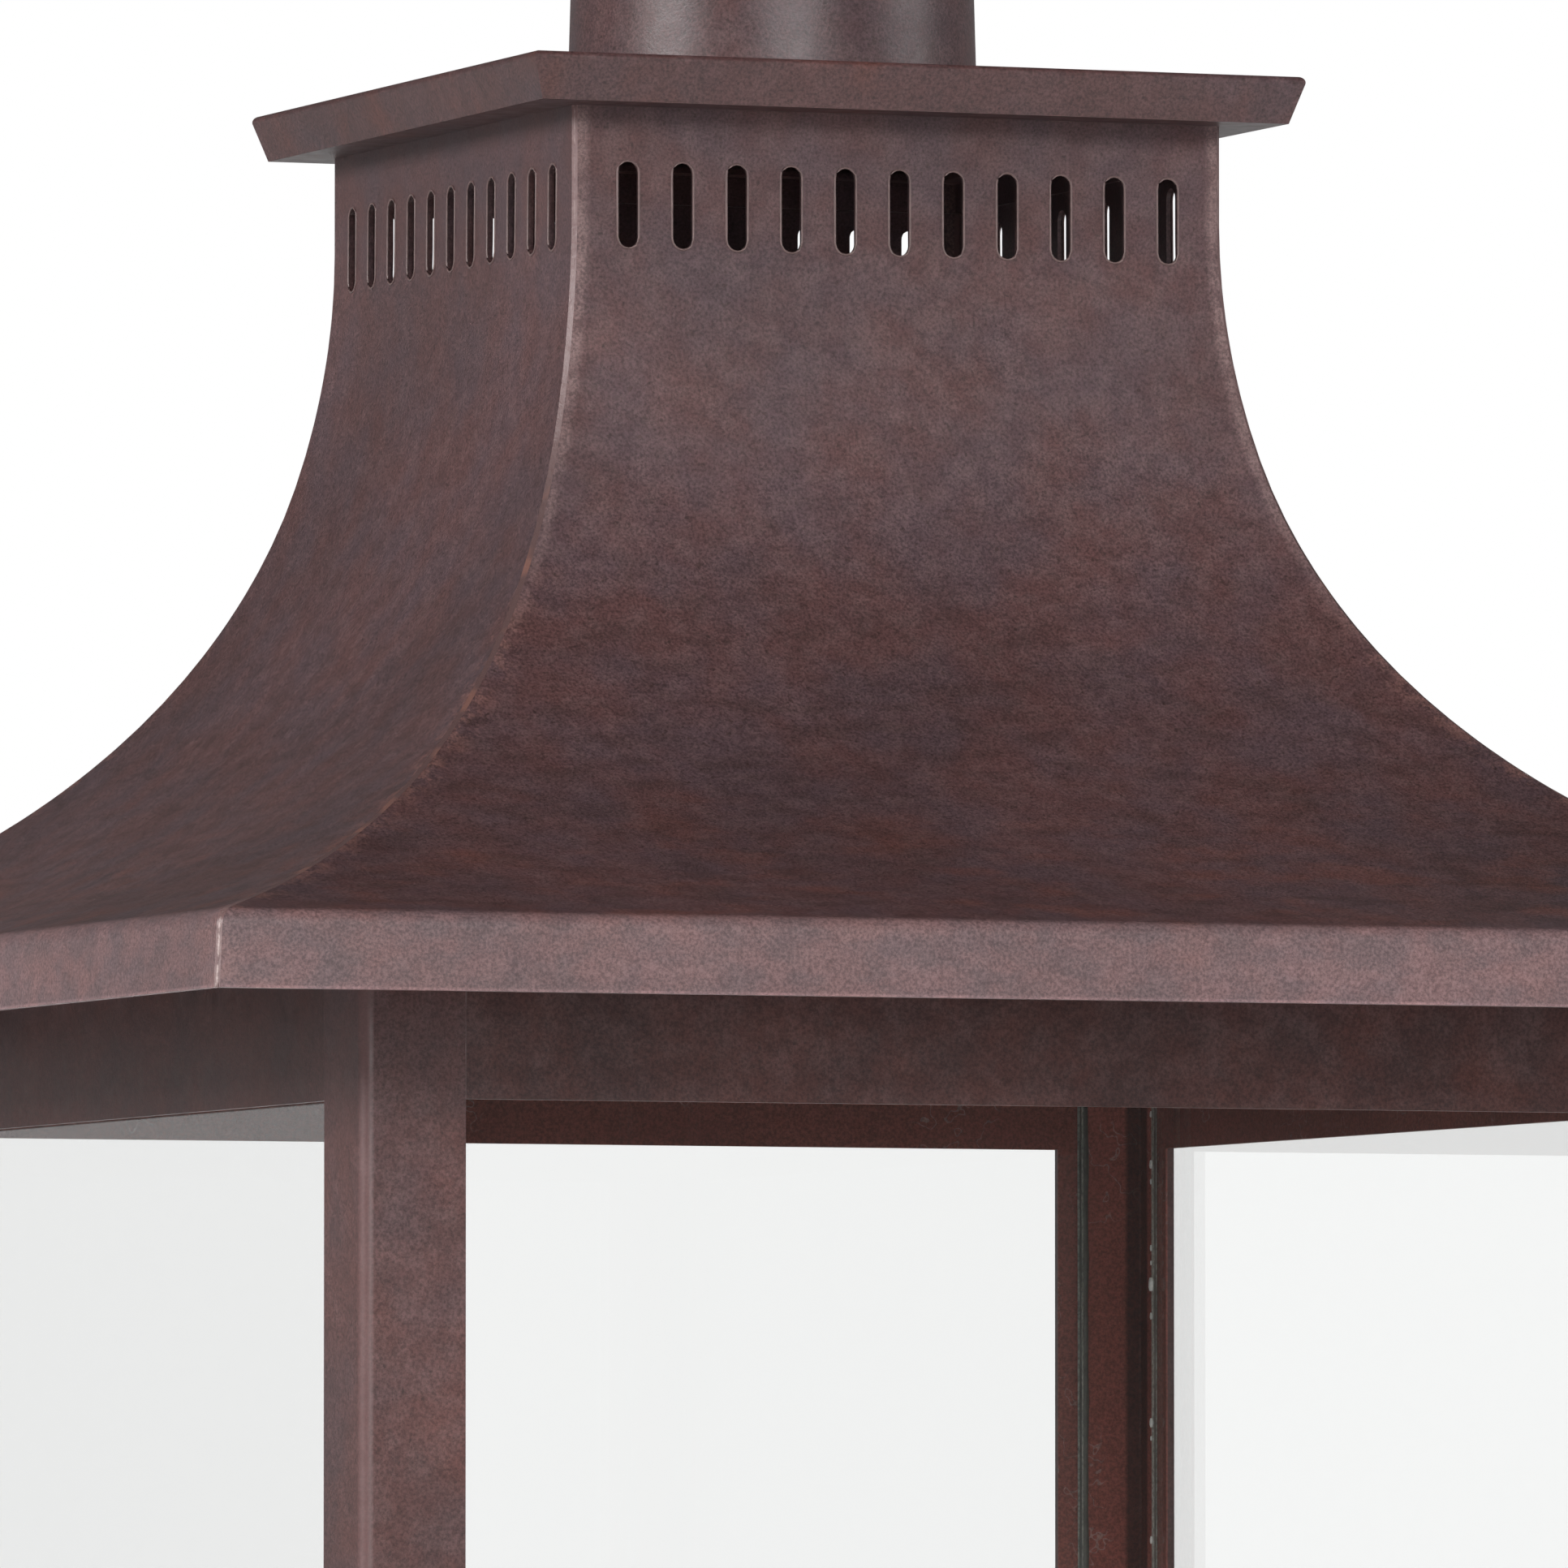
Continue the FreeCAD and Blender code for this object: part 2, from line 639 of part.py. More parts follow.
def slot_cutter(y, z):
    """An upright slot with round ends, cut right through the neck."""
    radius = SLOT_WIDTH / 2
    rise = SLOT_HEIGHT / 2 - radius
    x = neck_half - 4 * ROOF_SHEET
    left, right = y - radius, y + radius
    top_arc = Part.Arc(V(x, right, z + rise), V(x, y, z + SLOT_HEIGHT / 2), V(x, left, z + rise))
    foot_arc = Part.Arc(V(x, left, z - rise), V(x, y, z - SLOT_HEIGHT / 2), V(x, right, z - rise))
    left_side = Part.makeLine(V(x, left, z + rise), V(x, left, z - rise))
    right_side = Part.makeLine(V(x, right, z - rise), V(x, right, z + rise))
    outline = Part.Wire([top_arc.toShape(), left_side, foot_arc.toShape(), right_side])
    return Part.Face(outline).extrude(V(8 * ROOF_SHEET, 0, 0))


def roof_panel():
    """One curved side of the roof, mitred to its neighbours, with the vent slots in its neck."""
    panel = across(sheet_face(*roof_path(), ROOF_SHEET), eave_half)
    panel = panel.common(mitre_wedge(mitre_setback))
    slot_centre = neck_top - SLOT_TOP_MARGIN - SLOT_HEIGHT / 2
    first = -SLOT_PITCH * (SLOT_COUNT - 1) / 2
    cutters = [slot_cutter(first + SLOT_PITCH * slot, slot_centre) for slot in range(SLOT_COUNT)]
    return panel.cut(cutters)


def hip_seam():
    """The solder strip in one hip: the panels' own section, stretched to the diagonal."""
    section = sheet_face(*roof_path(), ROOF_SHEET)
    stretch = FreeCAD.Matrix()
    stretch.A11 = math.sqrt(2)
    stretch.A14 = -SEAM_WIDTH / 2
    strip = across(section.transformGeometry(stretch), SEAM_WIDTH / 2)
    return at_angle(strip, 45)


def soffit():
    """A strip from the fascia to the cage's opening, turned down there as a lip."""
    lean = math.tan(math.radians(FASCIA_LEAN)) * (soffit_top - fascia_bottom)
    outer = eave_half - lean - ROOF_SHEET - SOFFIT_EDGE_CLEARANCE
    lip_inner = lip_face - SOFFIT_SHEET
    lip_bottom = soffit_bottom - LIP_DEPTH
    points = [
        (lip_inner, lip_bottom),
        (lip_face, lip_bottom),
        (lip_face, soffit_bottom),
        (outer, soffit_bottom),
        (outer, soffit_top),
        (lip_inner, soffit_top),
    ]
    return across(polygon_face(points), eave_half).common(mitre_wedge(mitre_setback))


def neck_angle():
    """A square angle ring inside the neck's top, which carries the cap."""
    outer = neck_half - ROOF_SHEET
    bottom = neck_top - NECK_ANGLE_HEIGHT
    solid = block(-outer, outer, outer, bottom, neck_top)
    solid = solid.makeChamfer(mitre_setback + ROOF_SHEET / 2, upright_edges(solid))
    hollow = outer - ROOF_SHEET
    opening = outer - NECK_ANGLE_WIDTH
    solid = solid.cut(block(-hollow, hollow, hollow, bottom, neck_top - ROOF_SHEET))
    return solid.cut(block(-opening, opening, opening, bottom, neck_top))


def frustum(low_half, high_half, bottom, top):
    """A square block whose sides splay from a lower half width to an upper one."""
    corners = [(-low_half, bottom), (low_half, bottom), (high_half, top), (-high_half, top)]
    one_way = across(polygon_face(corners), 2 * high_half)
    return one_way.common(at_angle(one_way, 90))


def cap():
    """A shallow square box with splayed sides, a soft top edge and a return lip on the neck."""
    foot = neck_half + CAP_OVERHANG
    head = foot + CAP_SPLAY
    solid = frustum(foot, head, neck_top, cap_top)
    rim = [e for e in solid.Edges if e.BoundBox.ZMin > cap_top - CAP_HEIGHT / 2]
    solid = solid.makeFillet(CAP_EDGE_RADIUS, rim)
    floor, ceiling = neck_top + CAP_SHEET, cap_top - CAP_SHEET
    solid = solid.cut(frustum(foot - CAP_SHEET, head - 2 * CAP_SHEET, floor, ceiling))
    opening = neck_half - ROOF_SHEET - CAP_RETURN
    solid = solid.cut(block(-opening, opening, opening, neck_top, floor))
    flue = Part.makeCylinder(CHIMNEY_FOOT_RADIUS - CHIMNEY_WALL, cap_top)
    return solid.cut(flue)


# Chimney


def chimney_radius(height):
    """The tube's outside radius at a height above the cap."""
    return CHIMNEY_FOOT_RADIUS - height * math.tan(math.radians(CHIMNEY_TAPER))


def chimney_cone(inset):
    foot = CHIMNEY_FOOT_RADIUS - inset
    head = chimney_radius(CHIMNEY_HEIGHT) - inset
    return Part.makeCone(foot, head, CHIMNEY_HEIGHT, V(0, 0, cap_top))


def chimney_tube():
    return chimney_cone(0).cut(chimney_cone(CHIMNEY_WALL))


def chimney_rim():
    """A hem band that stiffens the tube's mouth."""
    low = chimney_radius(CHIMNEY_HEIGHT - HEM_HEIGHT) + HEM_FIT
    high = chimney_radius(CHIMNEY_HEIGHT) + HEM_FIT
    bottom = chimney_top - HEM_HEIGHT
    points = [(low, bottom), (low + HEM_SHEET, bottom), (high + HEM_SHEET, chimney_top), (high, chimney_top)]
    return turned(polygon_face(points))


def hat_crossbar():
    """A strap across the flue with its ends turned down against the wall."""
    top = chimney_top - CROSSBAR_DROP
    reach = CHIMNEY_FOOT_RADIUS
    strap = block(-reach, reach, CROSSBAR_WIDTH / 2, top - CROSSBAR_THICKNESS, top)
    lugs = block(-reach, reach, CROSSBAR_WIDTH / 2, top - CROSSBAR_LUG, top)
    flat = chimney_radius(CHIMNEY_HEIGHT) - 2 * CHIMNEY_WALL - CROSSBAR_THICKNESS
    lugs = lugs.cut(block(-flat, flat, CROSSBAR_WIDTH, top - CROSSBAR_LUG, top))
    bar = strap.fuse(lugs).common(chimney_cone(CHIMNEY_WALL))
    return bar.removeSplitter().cut(Part.makeCylinder(STUD_RADIUS + STUD_FIT, top))


def hat_stud():
    bottom = chimney_top - CROSSBAR_DROP - CROSSBAR_THICKNESS - STUD_NUT_HEIGHT - STUD_TAIL
    top = hat_seat + HAT_SHEET + FINIAL_BORE_DEPTH - STUD_FIT
    return Part.makeCylinder(STUD_RADIUS, top - bottom, V(0, 0, bottom))


def hat_nut():
    nut = hexagon(STUD_NUT_FLATS, STUD_NUT_HEIGHT)
    nut = nut.cut(Part.makeCylinder(STUD_RADIUS + STUD_FIT, STUD_NUT_HEIGHT))
    nut.translate(V(0, 0, chimney_top - CROSSBAR_DROP - CROSSBAR_THICKNESS - STUD_NUT_HEIGHT))
    return nut


def hat_spacer():
    return ring(STUD_RADIUS + STUD_FIT, SPACER_RADIUS, chimney_top - CROSSBAR_DROP, hat_seat)


def chimney_hat():
    """A conical hat with a turned-down brim, drawn from its stud hole outwards."""
    folds = [
        (HAT_SEAT_RADIUS - STUD_RADIUS - STUD_FIT, -HAT_SLOPE),
        (HAT_SLOPE_RUN, HAT_SLOPE - 90),
        (HAT_BRIM_RUN, 0),
    ]
    return turned(folded_face(V(STUD_RADIUS + STUD_FIT, 0, hat_seat), 0, folds, HAT_SHEET))


def finial():
    """A turned finial: foot, waist, belly and spire, bored for the stud."""
    foot = hat_seat + HAT_SHEET
    waist = foot + FINIAL_FOOT_HEIGHT
    belly = waist + FINIAL_WAIST_HEIGHT + FINIAL_BELLY_HEIGHT
    points = [
        (0, foot),
        (FINIAL_FOOT_RADIUS, foot),
        (FINIAL_WAIST_RADIUS, waist),
        (FINIAL_WAIST_RADIUS, waist + FINIAL_WAIST_HEIGHT),
        (FINIAL_BELLY_RADIUS, belly),
        (FINIAL_TIP_RADIUS, belly + FINIAL_SPIRE_HEIGHT),
        (0, belly + FINIAL_SPIRE_HEIGHT),
    ]
    bore = Part.makeCylinder(STUD_RADIUS + STUD_FIT, FINIAL_BORE_DEPTH, V(0, 0, foot))
    return turned(polygon_face(points)).cut(bore)


SIDES = {"right": 0, "back": 90, "left": 180, "front": 270}
CORNERS = {"front_right": 0, "back_right": 90, "back_left": 180, "front_left": 270}


def build():
    """Every node of the lantern, by name."""
    parts = {
        "fitter_collar": fitter_collar(),
        "flared_cup": flared_cup(),
        "base_pan": base_pan(),
        "glass_clips": glass_clips(),
        "cluster_cup": cluster_cup(),
        "cluster_plate": cluster_plate(),
        "cluster_stem": cluster_stem(),
        "stem_nuts": stem_nuts(),
        "ground_screw": ground_screw(),
        "neck_angle": neck_angle(),
        "cap": cap(),
        "chimney_tube": chimney_tube(),
        "chimney_rim": chimney_rim(),
        "hat_crossbar": hat_crossbar(),
        "hat_stud": hat_stud(),
        "hat_nut": hat_nut(),
        "hat_spacer": hat_spacer(),
        "chimney_hat": chimney_hat(),
        "finial": finial(),
    }
    nut = set_screw_nut()
    parts["set_screw_nuts"] = Part.makeCompound([at_angle(nut, a) for a in SET_SCREW_ANGLES])
    for number, angle in enumerate(SET_SCREW_ANGLES, 1):
        parts["set_screw_%d" % number] = at_angle(set_screw(), angle)
    clamped = {side: SIDES[side] for side in ("front", "back")}
    nut = thumb_screw_nut()
    parts["thumb_screw_nuts"] = Part.makeCompound([at_angle(nut, a) for a in clamped.values()])
    for side, angle in clamped.items():
        parts["thumb_screw_" + side] = at_angle(thumb_screw(), angle)
    for corner, angle in CORNERS.items():
        parts["corner_post_" + corner] = at_angle(corner_post(), angle)
    side_pieces = {
        "bottom_rail": bottom_rail(),
        "glass_pane": glass_pane(),
        "roof_panel": roof_panel(),
        "soffit": soffit(),
    }
    for side, angle in SIDES.items():
        rail = drilled_top_rail() if side in clamped else top_rail()
        parts["top_rail_" + side] = at_angle(rail, angle)
        for name, piece in side_pieces.items():
            parts[name + "_" + side] = at_angle(piece, angle)
    parts["hip_seams"] = Part.makeCompound([at_angle(hip_seam(), a) for a in SIDES.values()])
    angles = lamp_angles()
    parts["candle_cups"] = Part.makeCompound([at_lamp(candle_cup(), a) for a in angles])
    parts["bulb_caps"] = Part.makeCompound([at_lamp(bulb_cap(), a) for a in angles])
    parts["lamp_holders"] = Part.makeCompound([at_lamp(lamp_holder(), a) for a in angles])
    for number, angle in enumerate(angles, 1):
        parts["candle_sleeve_%d" % number] = at_lamp(candle_sleeve(), angle)
        parts["bulb_glass_%d" % number] = at_lamp(bulb_glass(), angle)
    return parts


os.makedirs("parts", exist_ok=True)
for node, shape in build().items():
    shape.exportStep("parts/" + node + ".step")
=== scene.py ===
import bpy
import json
import math
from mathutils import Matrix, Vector
from mathutils import noise as wave


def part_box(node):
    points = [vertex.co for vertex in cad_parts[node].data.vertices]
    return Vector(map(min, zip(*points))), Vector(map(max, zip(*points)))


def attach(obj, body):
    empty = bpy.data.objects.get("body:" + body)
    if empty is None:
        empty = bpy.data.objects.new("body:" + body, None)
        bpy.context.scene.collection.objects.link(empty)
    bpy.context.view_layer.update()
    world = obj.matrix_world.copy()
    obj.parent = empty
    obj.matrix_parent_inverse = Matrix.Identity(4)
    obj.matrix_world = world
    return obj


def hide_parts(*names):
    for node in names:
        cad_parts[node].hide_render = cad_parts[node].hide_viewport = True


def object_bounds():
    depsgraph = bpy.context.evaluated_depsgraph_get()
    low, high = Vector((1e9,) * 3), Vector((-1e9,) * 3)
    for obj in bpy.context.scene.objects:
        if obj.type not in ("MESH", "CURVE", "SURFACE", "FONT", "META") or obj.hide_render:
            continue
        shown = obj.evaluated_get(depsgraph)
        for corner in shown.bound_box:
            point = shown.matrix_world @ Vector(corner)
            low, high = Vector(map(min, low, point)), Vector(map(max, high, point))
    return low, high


# A square post top lantern in dark bronze sheet: its finish, solder, glass, sealant and lamps.
# Metres, +Z up, front is -Y, in the same frame as the construction.

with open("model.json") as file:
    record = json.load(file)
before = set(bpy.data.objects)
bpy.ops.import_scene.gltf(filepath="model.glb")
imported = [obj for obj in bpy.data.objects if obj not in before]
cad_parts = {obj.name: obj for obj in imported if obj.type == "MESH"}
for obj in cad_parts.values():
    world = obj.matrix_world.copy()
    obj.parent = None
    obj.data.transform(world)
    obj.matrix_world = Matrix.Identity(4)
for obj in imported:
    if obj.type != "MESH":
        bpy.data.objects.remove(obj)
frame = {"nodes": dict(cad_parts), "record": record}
cad_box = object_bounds()
NODES = frame["nodes"]
BODIES = frame["record"]["behaviour"]["bodies"]
BODY_OF = {node: body for body, nodes in BODIES.items() for node in nodes}
MM = 0.001

# Camera: the photograph's view, from the left of the front and a little below the eave
CAMERA_AZIMUTH = -21.4
CAMERA_DISTANCE = 2.965
CAMERA_HEIGHT = 0.2758
CAMERA_YAW = -21.438
CAMERA_PITCH = 2.82
CAMERA_LENS = 409.98
CAMERA_SENSOR = 36.0
CAMERA_CLIP_END = 100

# Soft lamps: azimuth, elevation, width, height, watts, and whether gloss shows them
LAMP_DISTANCE = 2.2
LAMPS = {
    "left_softbox": (-83, 24, 0.9, 0.6, 36.0, True),
    "front_low_softbox": (-9.6, 5, 0.9, 0.6, 7.5, True),
    "front_softbox": (-9.6, 25, 0.9, 0.6, 22.0, True),
    "right_softbox": (62, 20, 1.0, 0.8, 12.0, True),
    "back_softbox": (160, 25, 1.2, 0.9, 24.0, False),
}

# Surround: the even light, and in gloss a room whose walls turn dim above the horizon.
# The edges are heights of a direction, and the depths are how far it points to the back.
WORLD_AMBIENT = 0.18
SKY_EDGE = 0.04
SKY_WALL = 0.22
SKY_TOP = 0.75
SKY_WALL_TONE = 0.30
SKY_TOP_TONE = 0.10
ROOM_TONE = 0.11
BACKDROP_TONE = 0.32
ROOM_DEPTHS = (-0.4, 0.5)
BEHIND_DEPTHS = (0.1, 0.5)
FLOOR_RADIUS = 3.0
FLOOR_FADE = (0.55, 1.6)
FLOOR_CORNERS = 96

# Colours, linear
WHITE = (1.0, 1.0, 1.0)
PALE = (0.80, 0.80, 0.80)
BRONZE_RED = (0.086, 0.040, 0.039)
BRONZE_GREY = (0.075, 0.044, 0.049)
POST_CLOUDS = ((0.088, 0.039, 0.036), (0.074, 0.040, 0.041))
# Clouds of the darker bronze, painted as shade under the eave
SHADED_CLOUDS = ((0.080, 0.030, 0.026), (0.058, 0.027, 0.026))
BRONZE_DARK = (0.040, 0.021, 0.019)
BRONZE_PINK = (0.135, 0.076, 0.075)
BRONZE_RUST = (0.150, 0.046, 0.030)
# Redder sheet inside the cage, made brighter as painted light, brightest towards the top
INSIDE_COPPER_AND_LIGHT = (0.24, 0.070, 0.053)
INSIDE_COPPER_LOW = (0.105, 0.045, 0.040)
# Pale grey and pink of the fascia's painted sheen
FASCIA_SHEEN_GREY = (0.128, 0.088, 0.091)
FASCIA_SHEEN_PINK = (0.172, 0.104, 0.104)
BARE_COPPER = (0.24, 0.10, 0.075)
SANDED_HIP = (0.21, 0.135, 0.13)
SANDED_SEAM = (0.17, 0.105, 0.10)
SOLDER = (0.46, 0.36, 0.34)
TONED_SOLDER = (0.076, 0.043, 0.041)
TONED_COPPER = (0.15, 0.070, 0.055)
JOINT_SOLDER = (0.12, 0.078, 0.075)
# Paler rims of the vent slots, a painted highlight where their edges catch light
SLOT_RIM_HIGHLIGHT = (0.15, 0.095, 0.090)
FLUX = (0.42, 0.38, 0.36)
GROUND_GLASS = (0.38, 0.39, 0.35)
WINDOW_TINT = (0.995, 0.999, 0.996)
WINDOW_SHADOW = (0.90, 0.91, 0.90)
BULB_SHADOW = (0.96, 0.96, 0.96)
SEALANT = (0.13, 0.13, 0.115)
SPECK = (0.75, 0.75, 0.72)
IVORY = (0.72, 0.66, 0.52)
HOLDER_BLACK = (0.02, 0.02, 0.02)
NICKEL = (0.62, 0.58, 0.52)
ZINC = (0.55, 0.55, 0.56)
BRASS = (0.72, 0.52, 0.22)
STEEL = (0.35, 0.30, 0.28)
TUNGSTEN = (0.45, 0.42, 0.40)
GLASS_IOR = 1.45

# The roof's section, from the fascia's foot to the neck's top: (length, turn in degrees)
ROOF_FOOT = Vector((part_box("roof_panel_right")[1].x, 0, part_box("roof_panel_right")[0].z))
FASCIA_HEADING = 94
FASCIA_RUN = 9.9 * MM
EAVE_RUN = 5.6 * MM
NECK_RUN = 16.4 * MM
ROOF_BENDS = ((3.2 * MM, 69), (150 * MM, -16), (105 * MM, -42), (150 * MM, -15))
EAVE_TOP = ROOF_FOOT.z + 12 * MM
LINE_STEP = 1.0 * MM

# Where the roof's finish and its painted light and shade change: heights, and reaches from the axis
HIP_WORN = (0.430, 0.500)
HIP_COPPER = (0.460, 0.430)
LOW_ROOF_BANDS = (0.500, 0.410)
# Heights over which the low roof darkens as painted shade
LOW_ROOF_PAINTED_SHADE = (0.480, 0.415)
RUST_REACH = (0.085, 0.140)
# Where the fascia's painted sheen lies
FASCIA_REACH = (149.2 * MM, 151.4 * MM)
FASCIA_HEIGHTS = (0.396, 0.393)
SEAM_AT_FASCIA = (0.396, 0.392)
SEAM_AT_NECK = (0.455, 0.490)
# Heights over which the seam's painted sheen fades
SEAM_SHEEN_HEIGHTS = (0.40, 0.45)
# Heights over which the inside of the cage turns brighter, as painted light
INSIDE_LIGHTER_HEIGHTS = (0.20, 0.28)

# Solder along the hips: radii, how much they vary, and how many ripples a metre holds
SEAM_WIDTH = 1.0 * MM
HIP_BEAD_SINK = 0.15 * MM
HIP_BEAD_LEAST = 0.03 * MM
HIP_BEAD_WORN = 0.09 * MM
HIP_BEAD_FULL = 0.19 * MM
HIP_BEAD_RIPPLE = 0.08 * MM
HIP_BEAD_BREAK = 0.12 * MM
FASCIA_BEAD = 0.24 * MM
FASCIA_BEAD_RIPPLE = 0.05 * MM
DRIP_RADIUS = 0.20 * MM
DRIP_RISE = 1.6 * MM
HIP_RIPPLES = 230
HIP_BREAKS = 90

# Solder where the rails meet the posts
JOINT_BEAD = 0.12 * MM
JOINT_BEAD_RIPPLE = 0.07 * MM
JOINT_BEAD_SINK = 0.08 * MM
JOINT_BEAD_MARGIN = 2 * MM
JOINT_BEAD_STEPS = 30
JOINT_RIPPLES = 350

# Sealant beside the panes, and its crumbs in the back corner: height and size in millimetres
SEALANT_RADIUS = 1.0 * MM
SEALANT_UNEVEN = 0.25
SEALANT_GAP = 0.75 * MM
SEALANT_SINK = 0.7 * MM
SEALANT_STEPS = 90
SEALANT_RIPPLES = 120
CRUMBS = (
    (362.3, 0.55), (359.3, 0.35), (347.8, 0.4), (345.2, 0.3), (341.5, 0.9),
    (336.0, 0.45), (371.0, 0.4), (317.5, 0.6), (314.8, 0.3), (297.2, 0.5),
)
CRUMB_SHAPE = (0.3, 1.0, 1.6)
CRUMB_SINK = 0.1 * MM
CRUMB_INSET = 0.4 * MM
CRUMB_UNEVEN = 0.25
CRUMB_RIPPLES = 900

# Sides of the round beads' sections
BEAD_SIDES = 8
FINE_BEAD_SIDES = 6

# Vent slots in the neck
SLOT_COUNT = 11
SLOT_PITCH = 9.5 * MM
SLOT_WIDTH = 3.75 * MM
SLOT_HEIGHT = 14.3 * MM
SLOT_TOP_MARGIN = 8.8 * MM
SLOT_END_STEPS = 8
RIM_RADIUS = 0.2 * MM
RIM_UNEVEN = 0.2
RIM_RIPPLES = 300

# Cage
CAGE_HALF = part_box("corner_post_front_right")[1].x
CAGE_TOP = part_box("corner_post_front_right")[1].z
CAGE_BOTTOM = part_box("corner_post_front_right")[0].z
POST_LEG = 17.5 * MM
RAIL_HEIGHT = 25.0 * MM
FRAME_SHEET = 1.5 * MM
WINDOW_HALF = CAGE_HALF - POST_LEG
PANE_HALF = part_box("glass_pane_front")[1].x
PANE_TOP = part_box("glass_pane_front")[1].z
PANE_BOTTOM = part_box("glass_pane_front")[0].z
PANE_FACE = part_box("glass_pane_right")[0].x
GROUND_EDGE = 0.45 * MM

# A torpedo bulb: its outline in shares of its radius and height, and what it holds
BULB_COUNT = 3
BULB_OUTLINE = (
    (0.397, 0.0), (0.397, 0.05), (0.56, 0.15), (0.84, 0.24), (0.985, 0.34), (0.99, 0.45),
    (0.89, 0.60), (0.66, 0.76), (0.36, 0.90), (0.14, 0.97), (0.02, 0.998),
)
BULB_WALL = 0.7 * MM
BULB_SEGMENTS = 40
STEM_SEGMENTS = 20
STEM_FOOT_RADIUS = 2.6 * MM
STEM_WAIST_RADIUS = 2.0 * MM
STEM_TOP_RADIUS = 1.6 * MM
STEM_WAIST_SHARE = 0.12
STEM_TOP_SHARE = 0.30
NEAR_AXIS = 0.05 * MM
SUPPORT_RADIUS = 0.3 * MM
SUPPORT_SPREAD = 4.5 * MM
SUPPORT_SINK = 2 * MM
SUPPORT_SHARES = (0.15, 0.4, 0.7, 1.0)
FILAMENT_RADIUS = 0.12 * MM
FILAMENT_TOP_SHARE = 0.72
FILAMENT_HALF = 4.0 * MM
FILAMENT_DEPTH = 0.6 * MM
FILAMENT_DROP = 2.5 * MM
FILAMENT_FOLD = 7 * MM
FILAMENT_FOLDS = 8
STEPS_PER_FOLD = 6

CORNERS = {"front_right": -45, "back_right": 45, "back_left": 135, "front_left": 225}
SIDES = {"right": 0, "back": 90, "left": 180, "front": 270}

# Bronze pieces with a finish other than the roof's, or with painted shade, by how their names start
BRONZE_PIECES = {
    # The top rails and soffit get a darker, redder copy of the bronze, as painted shade under the eave
    "shaded_bronze": ("top_rail", "soffit"),
    "frame_bronze": ("corner_post", "bottom_rail", "glass_clips"),
    "foot_bronze": (
        "base_pan", "flared_cup", "fitter_collar", "cluster", "candle_cups", "thumb_screw", "set_screw",
    ),
    "cap_bronze": ("cap",),
}


# Node trees


def add(tree, kind, inputs=None, **settings):
    """A node of a tree, with its settings, and its inputs set to values or linked from sockets."""
    made = tree.nodes.new(kind)
    for name, value in settings.items():
        setattr(made, name, value)
    for name, value in (inputs or {}).items():
        fill(tree, made.inputs[name], value)
    return made


def fill(tree, socket, value):
    """Links a socket to another, or sets it to a number, a vector or a colour."""
    if isinstance(value, bpy.types.NodeSocket):
        tree.links.new(value, socket)
    elif isinstance(value, tuple) and socket.type == "RGBA":
        socket.default_value = (*value, 1)
    else:
        socket.default_value = value


def set_shader(tree, shader, **inputs):
    """Fills a shader's sockets, named with low lines for spaces."""
    for name, value in inputs.items():
        fill(tree, shader.inputs[name.replace("_", " ")], value)


def math_of(tree, operation, a, b=0.0):
    return add(tree, "ShaderNodeMath", {0: a, 1: b}, operation=operation).outputs[0]


def product(tree, first, *others):
    for other in others:
        first = math_of(tree, "MULTIPLY", first, other)
    return first


def largest(tree, first, *others):
    for other in others:
        first = math_of(tree, "MAXIMUM", first, other)
    return first


def mapped(tree, value, low, high, to_low=0.0, to_high=1.0):
    """A value's range mapped smoothly onto another, clamped."""
    inputs = {"Value": value, "From Min": low, "From Max": high, "To Min": to_low, "To Max": to_high}
    return add(tree, "ShaderNodeMapRange", inputs, interpolation_type="SMOOTHSTEP").outputs[0]


def mix_colour(tree, amount, a, b):
    """A colour between two, by an amount."""
    return add(tree, "ShaderNodeMix", {0: amount, 6: a, 7: b}, data_type="RGBA").outputs[2]


def layered(tree, colour, *layers):
    """A colour with others laid over it, each given as (amount, colour)."""
    for amount, over in layers:
        colour = mix_colour(tree, amount, colour, over)
    return colour


def scaled_colour(tree, colour, factor):
    return add(tree, "ShaderNodeVectorMath", {0: colour, "Scale": factor}, operation="SCALE").outputs[0]


def noise(tree, place, size, detail=2.0, roughness=0.5, stretch=(1, 1, 1)):
    """Noise with features of a size in metres, at a place, drawn out by a stretch along each axis."""
    scale = tuple(1 / (size * s) for s in stretch)
    scaled = add(tree, "ShaderNodeVectorMath", {0: place, 1: scale}, operation="MULTIPLY").outputs[0]
    inputs = {"Vector": scaled, "Scale": 1.0, "Detail": detail, "Roughness": roughness}
    return add(tree, "ShaderNodeTexNoise", inputs).outputs["Fac"]


def bump(tree, height, distance):
    return add(tree, "ShaderNodeBump", {"Height": height, "Distance": distance}).outputs[0]


def new_material(name):
    """A material with one Principled shader: (material, tree, shader, the place in the frame)."""
    material = bpy.data.materials.new(name)
    material.use_nodes = True
    tree = material.node_tree
    shader = tree.nodes["Principled BSDF"]
    place = add(tree, "ShaderNodeTexCoord").outputs["Object"]
    return material, tree, shader, place


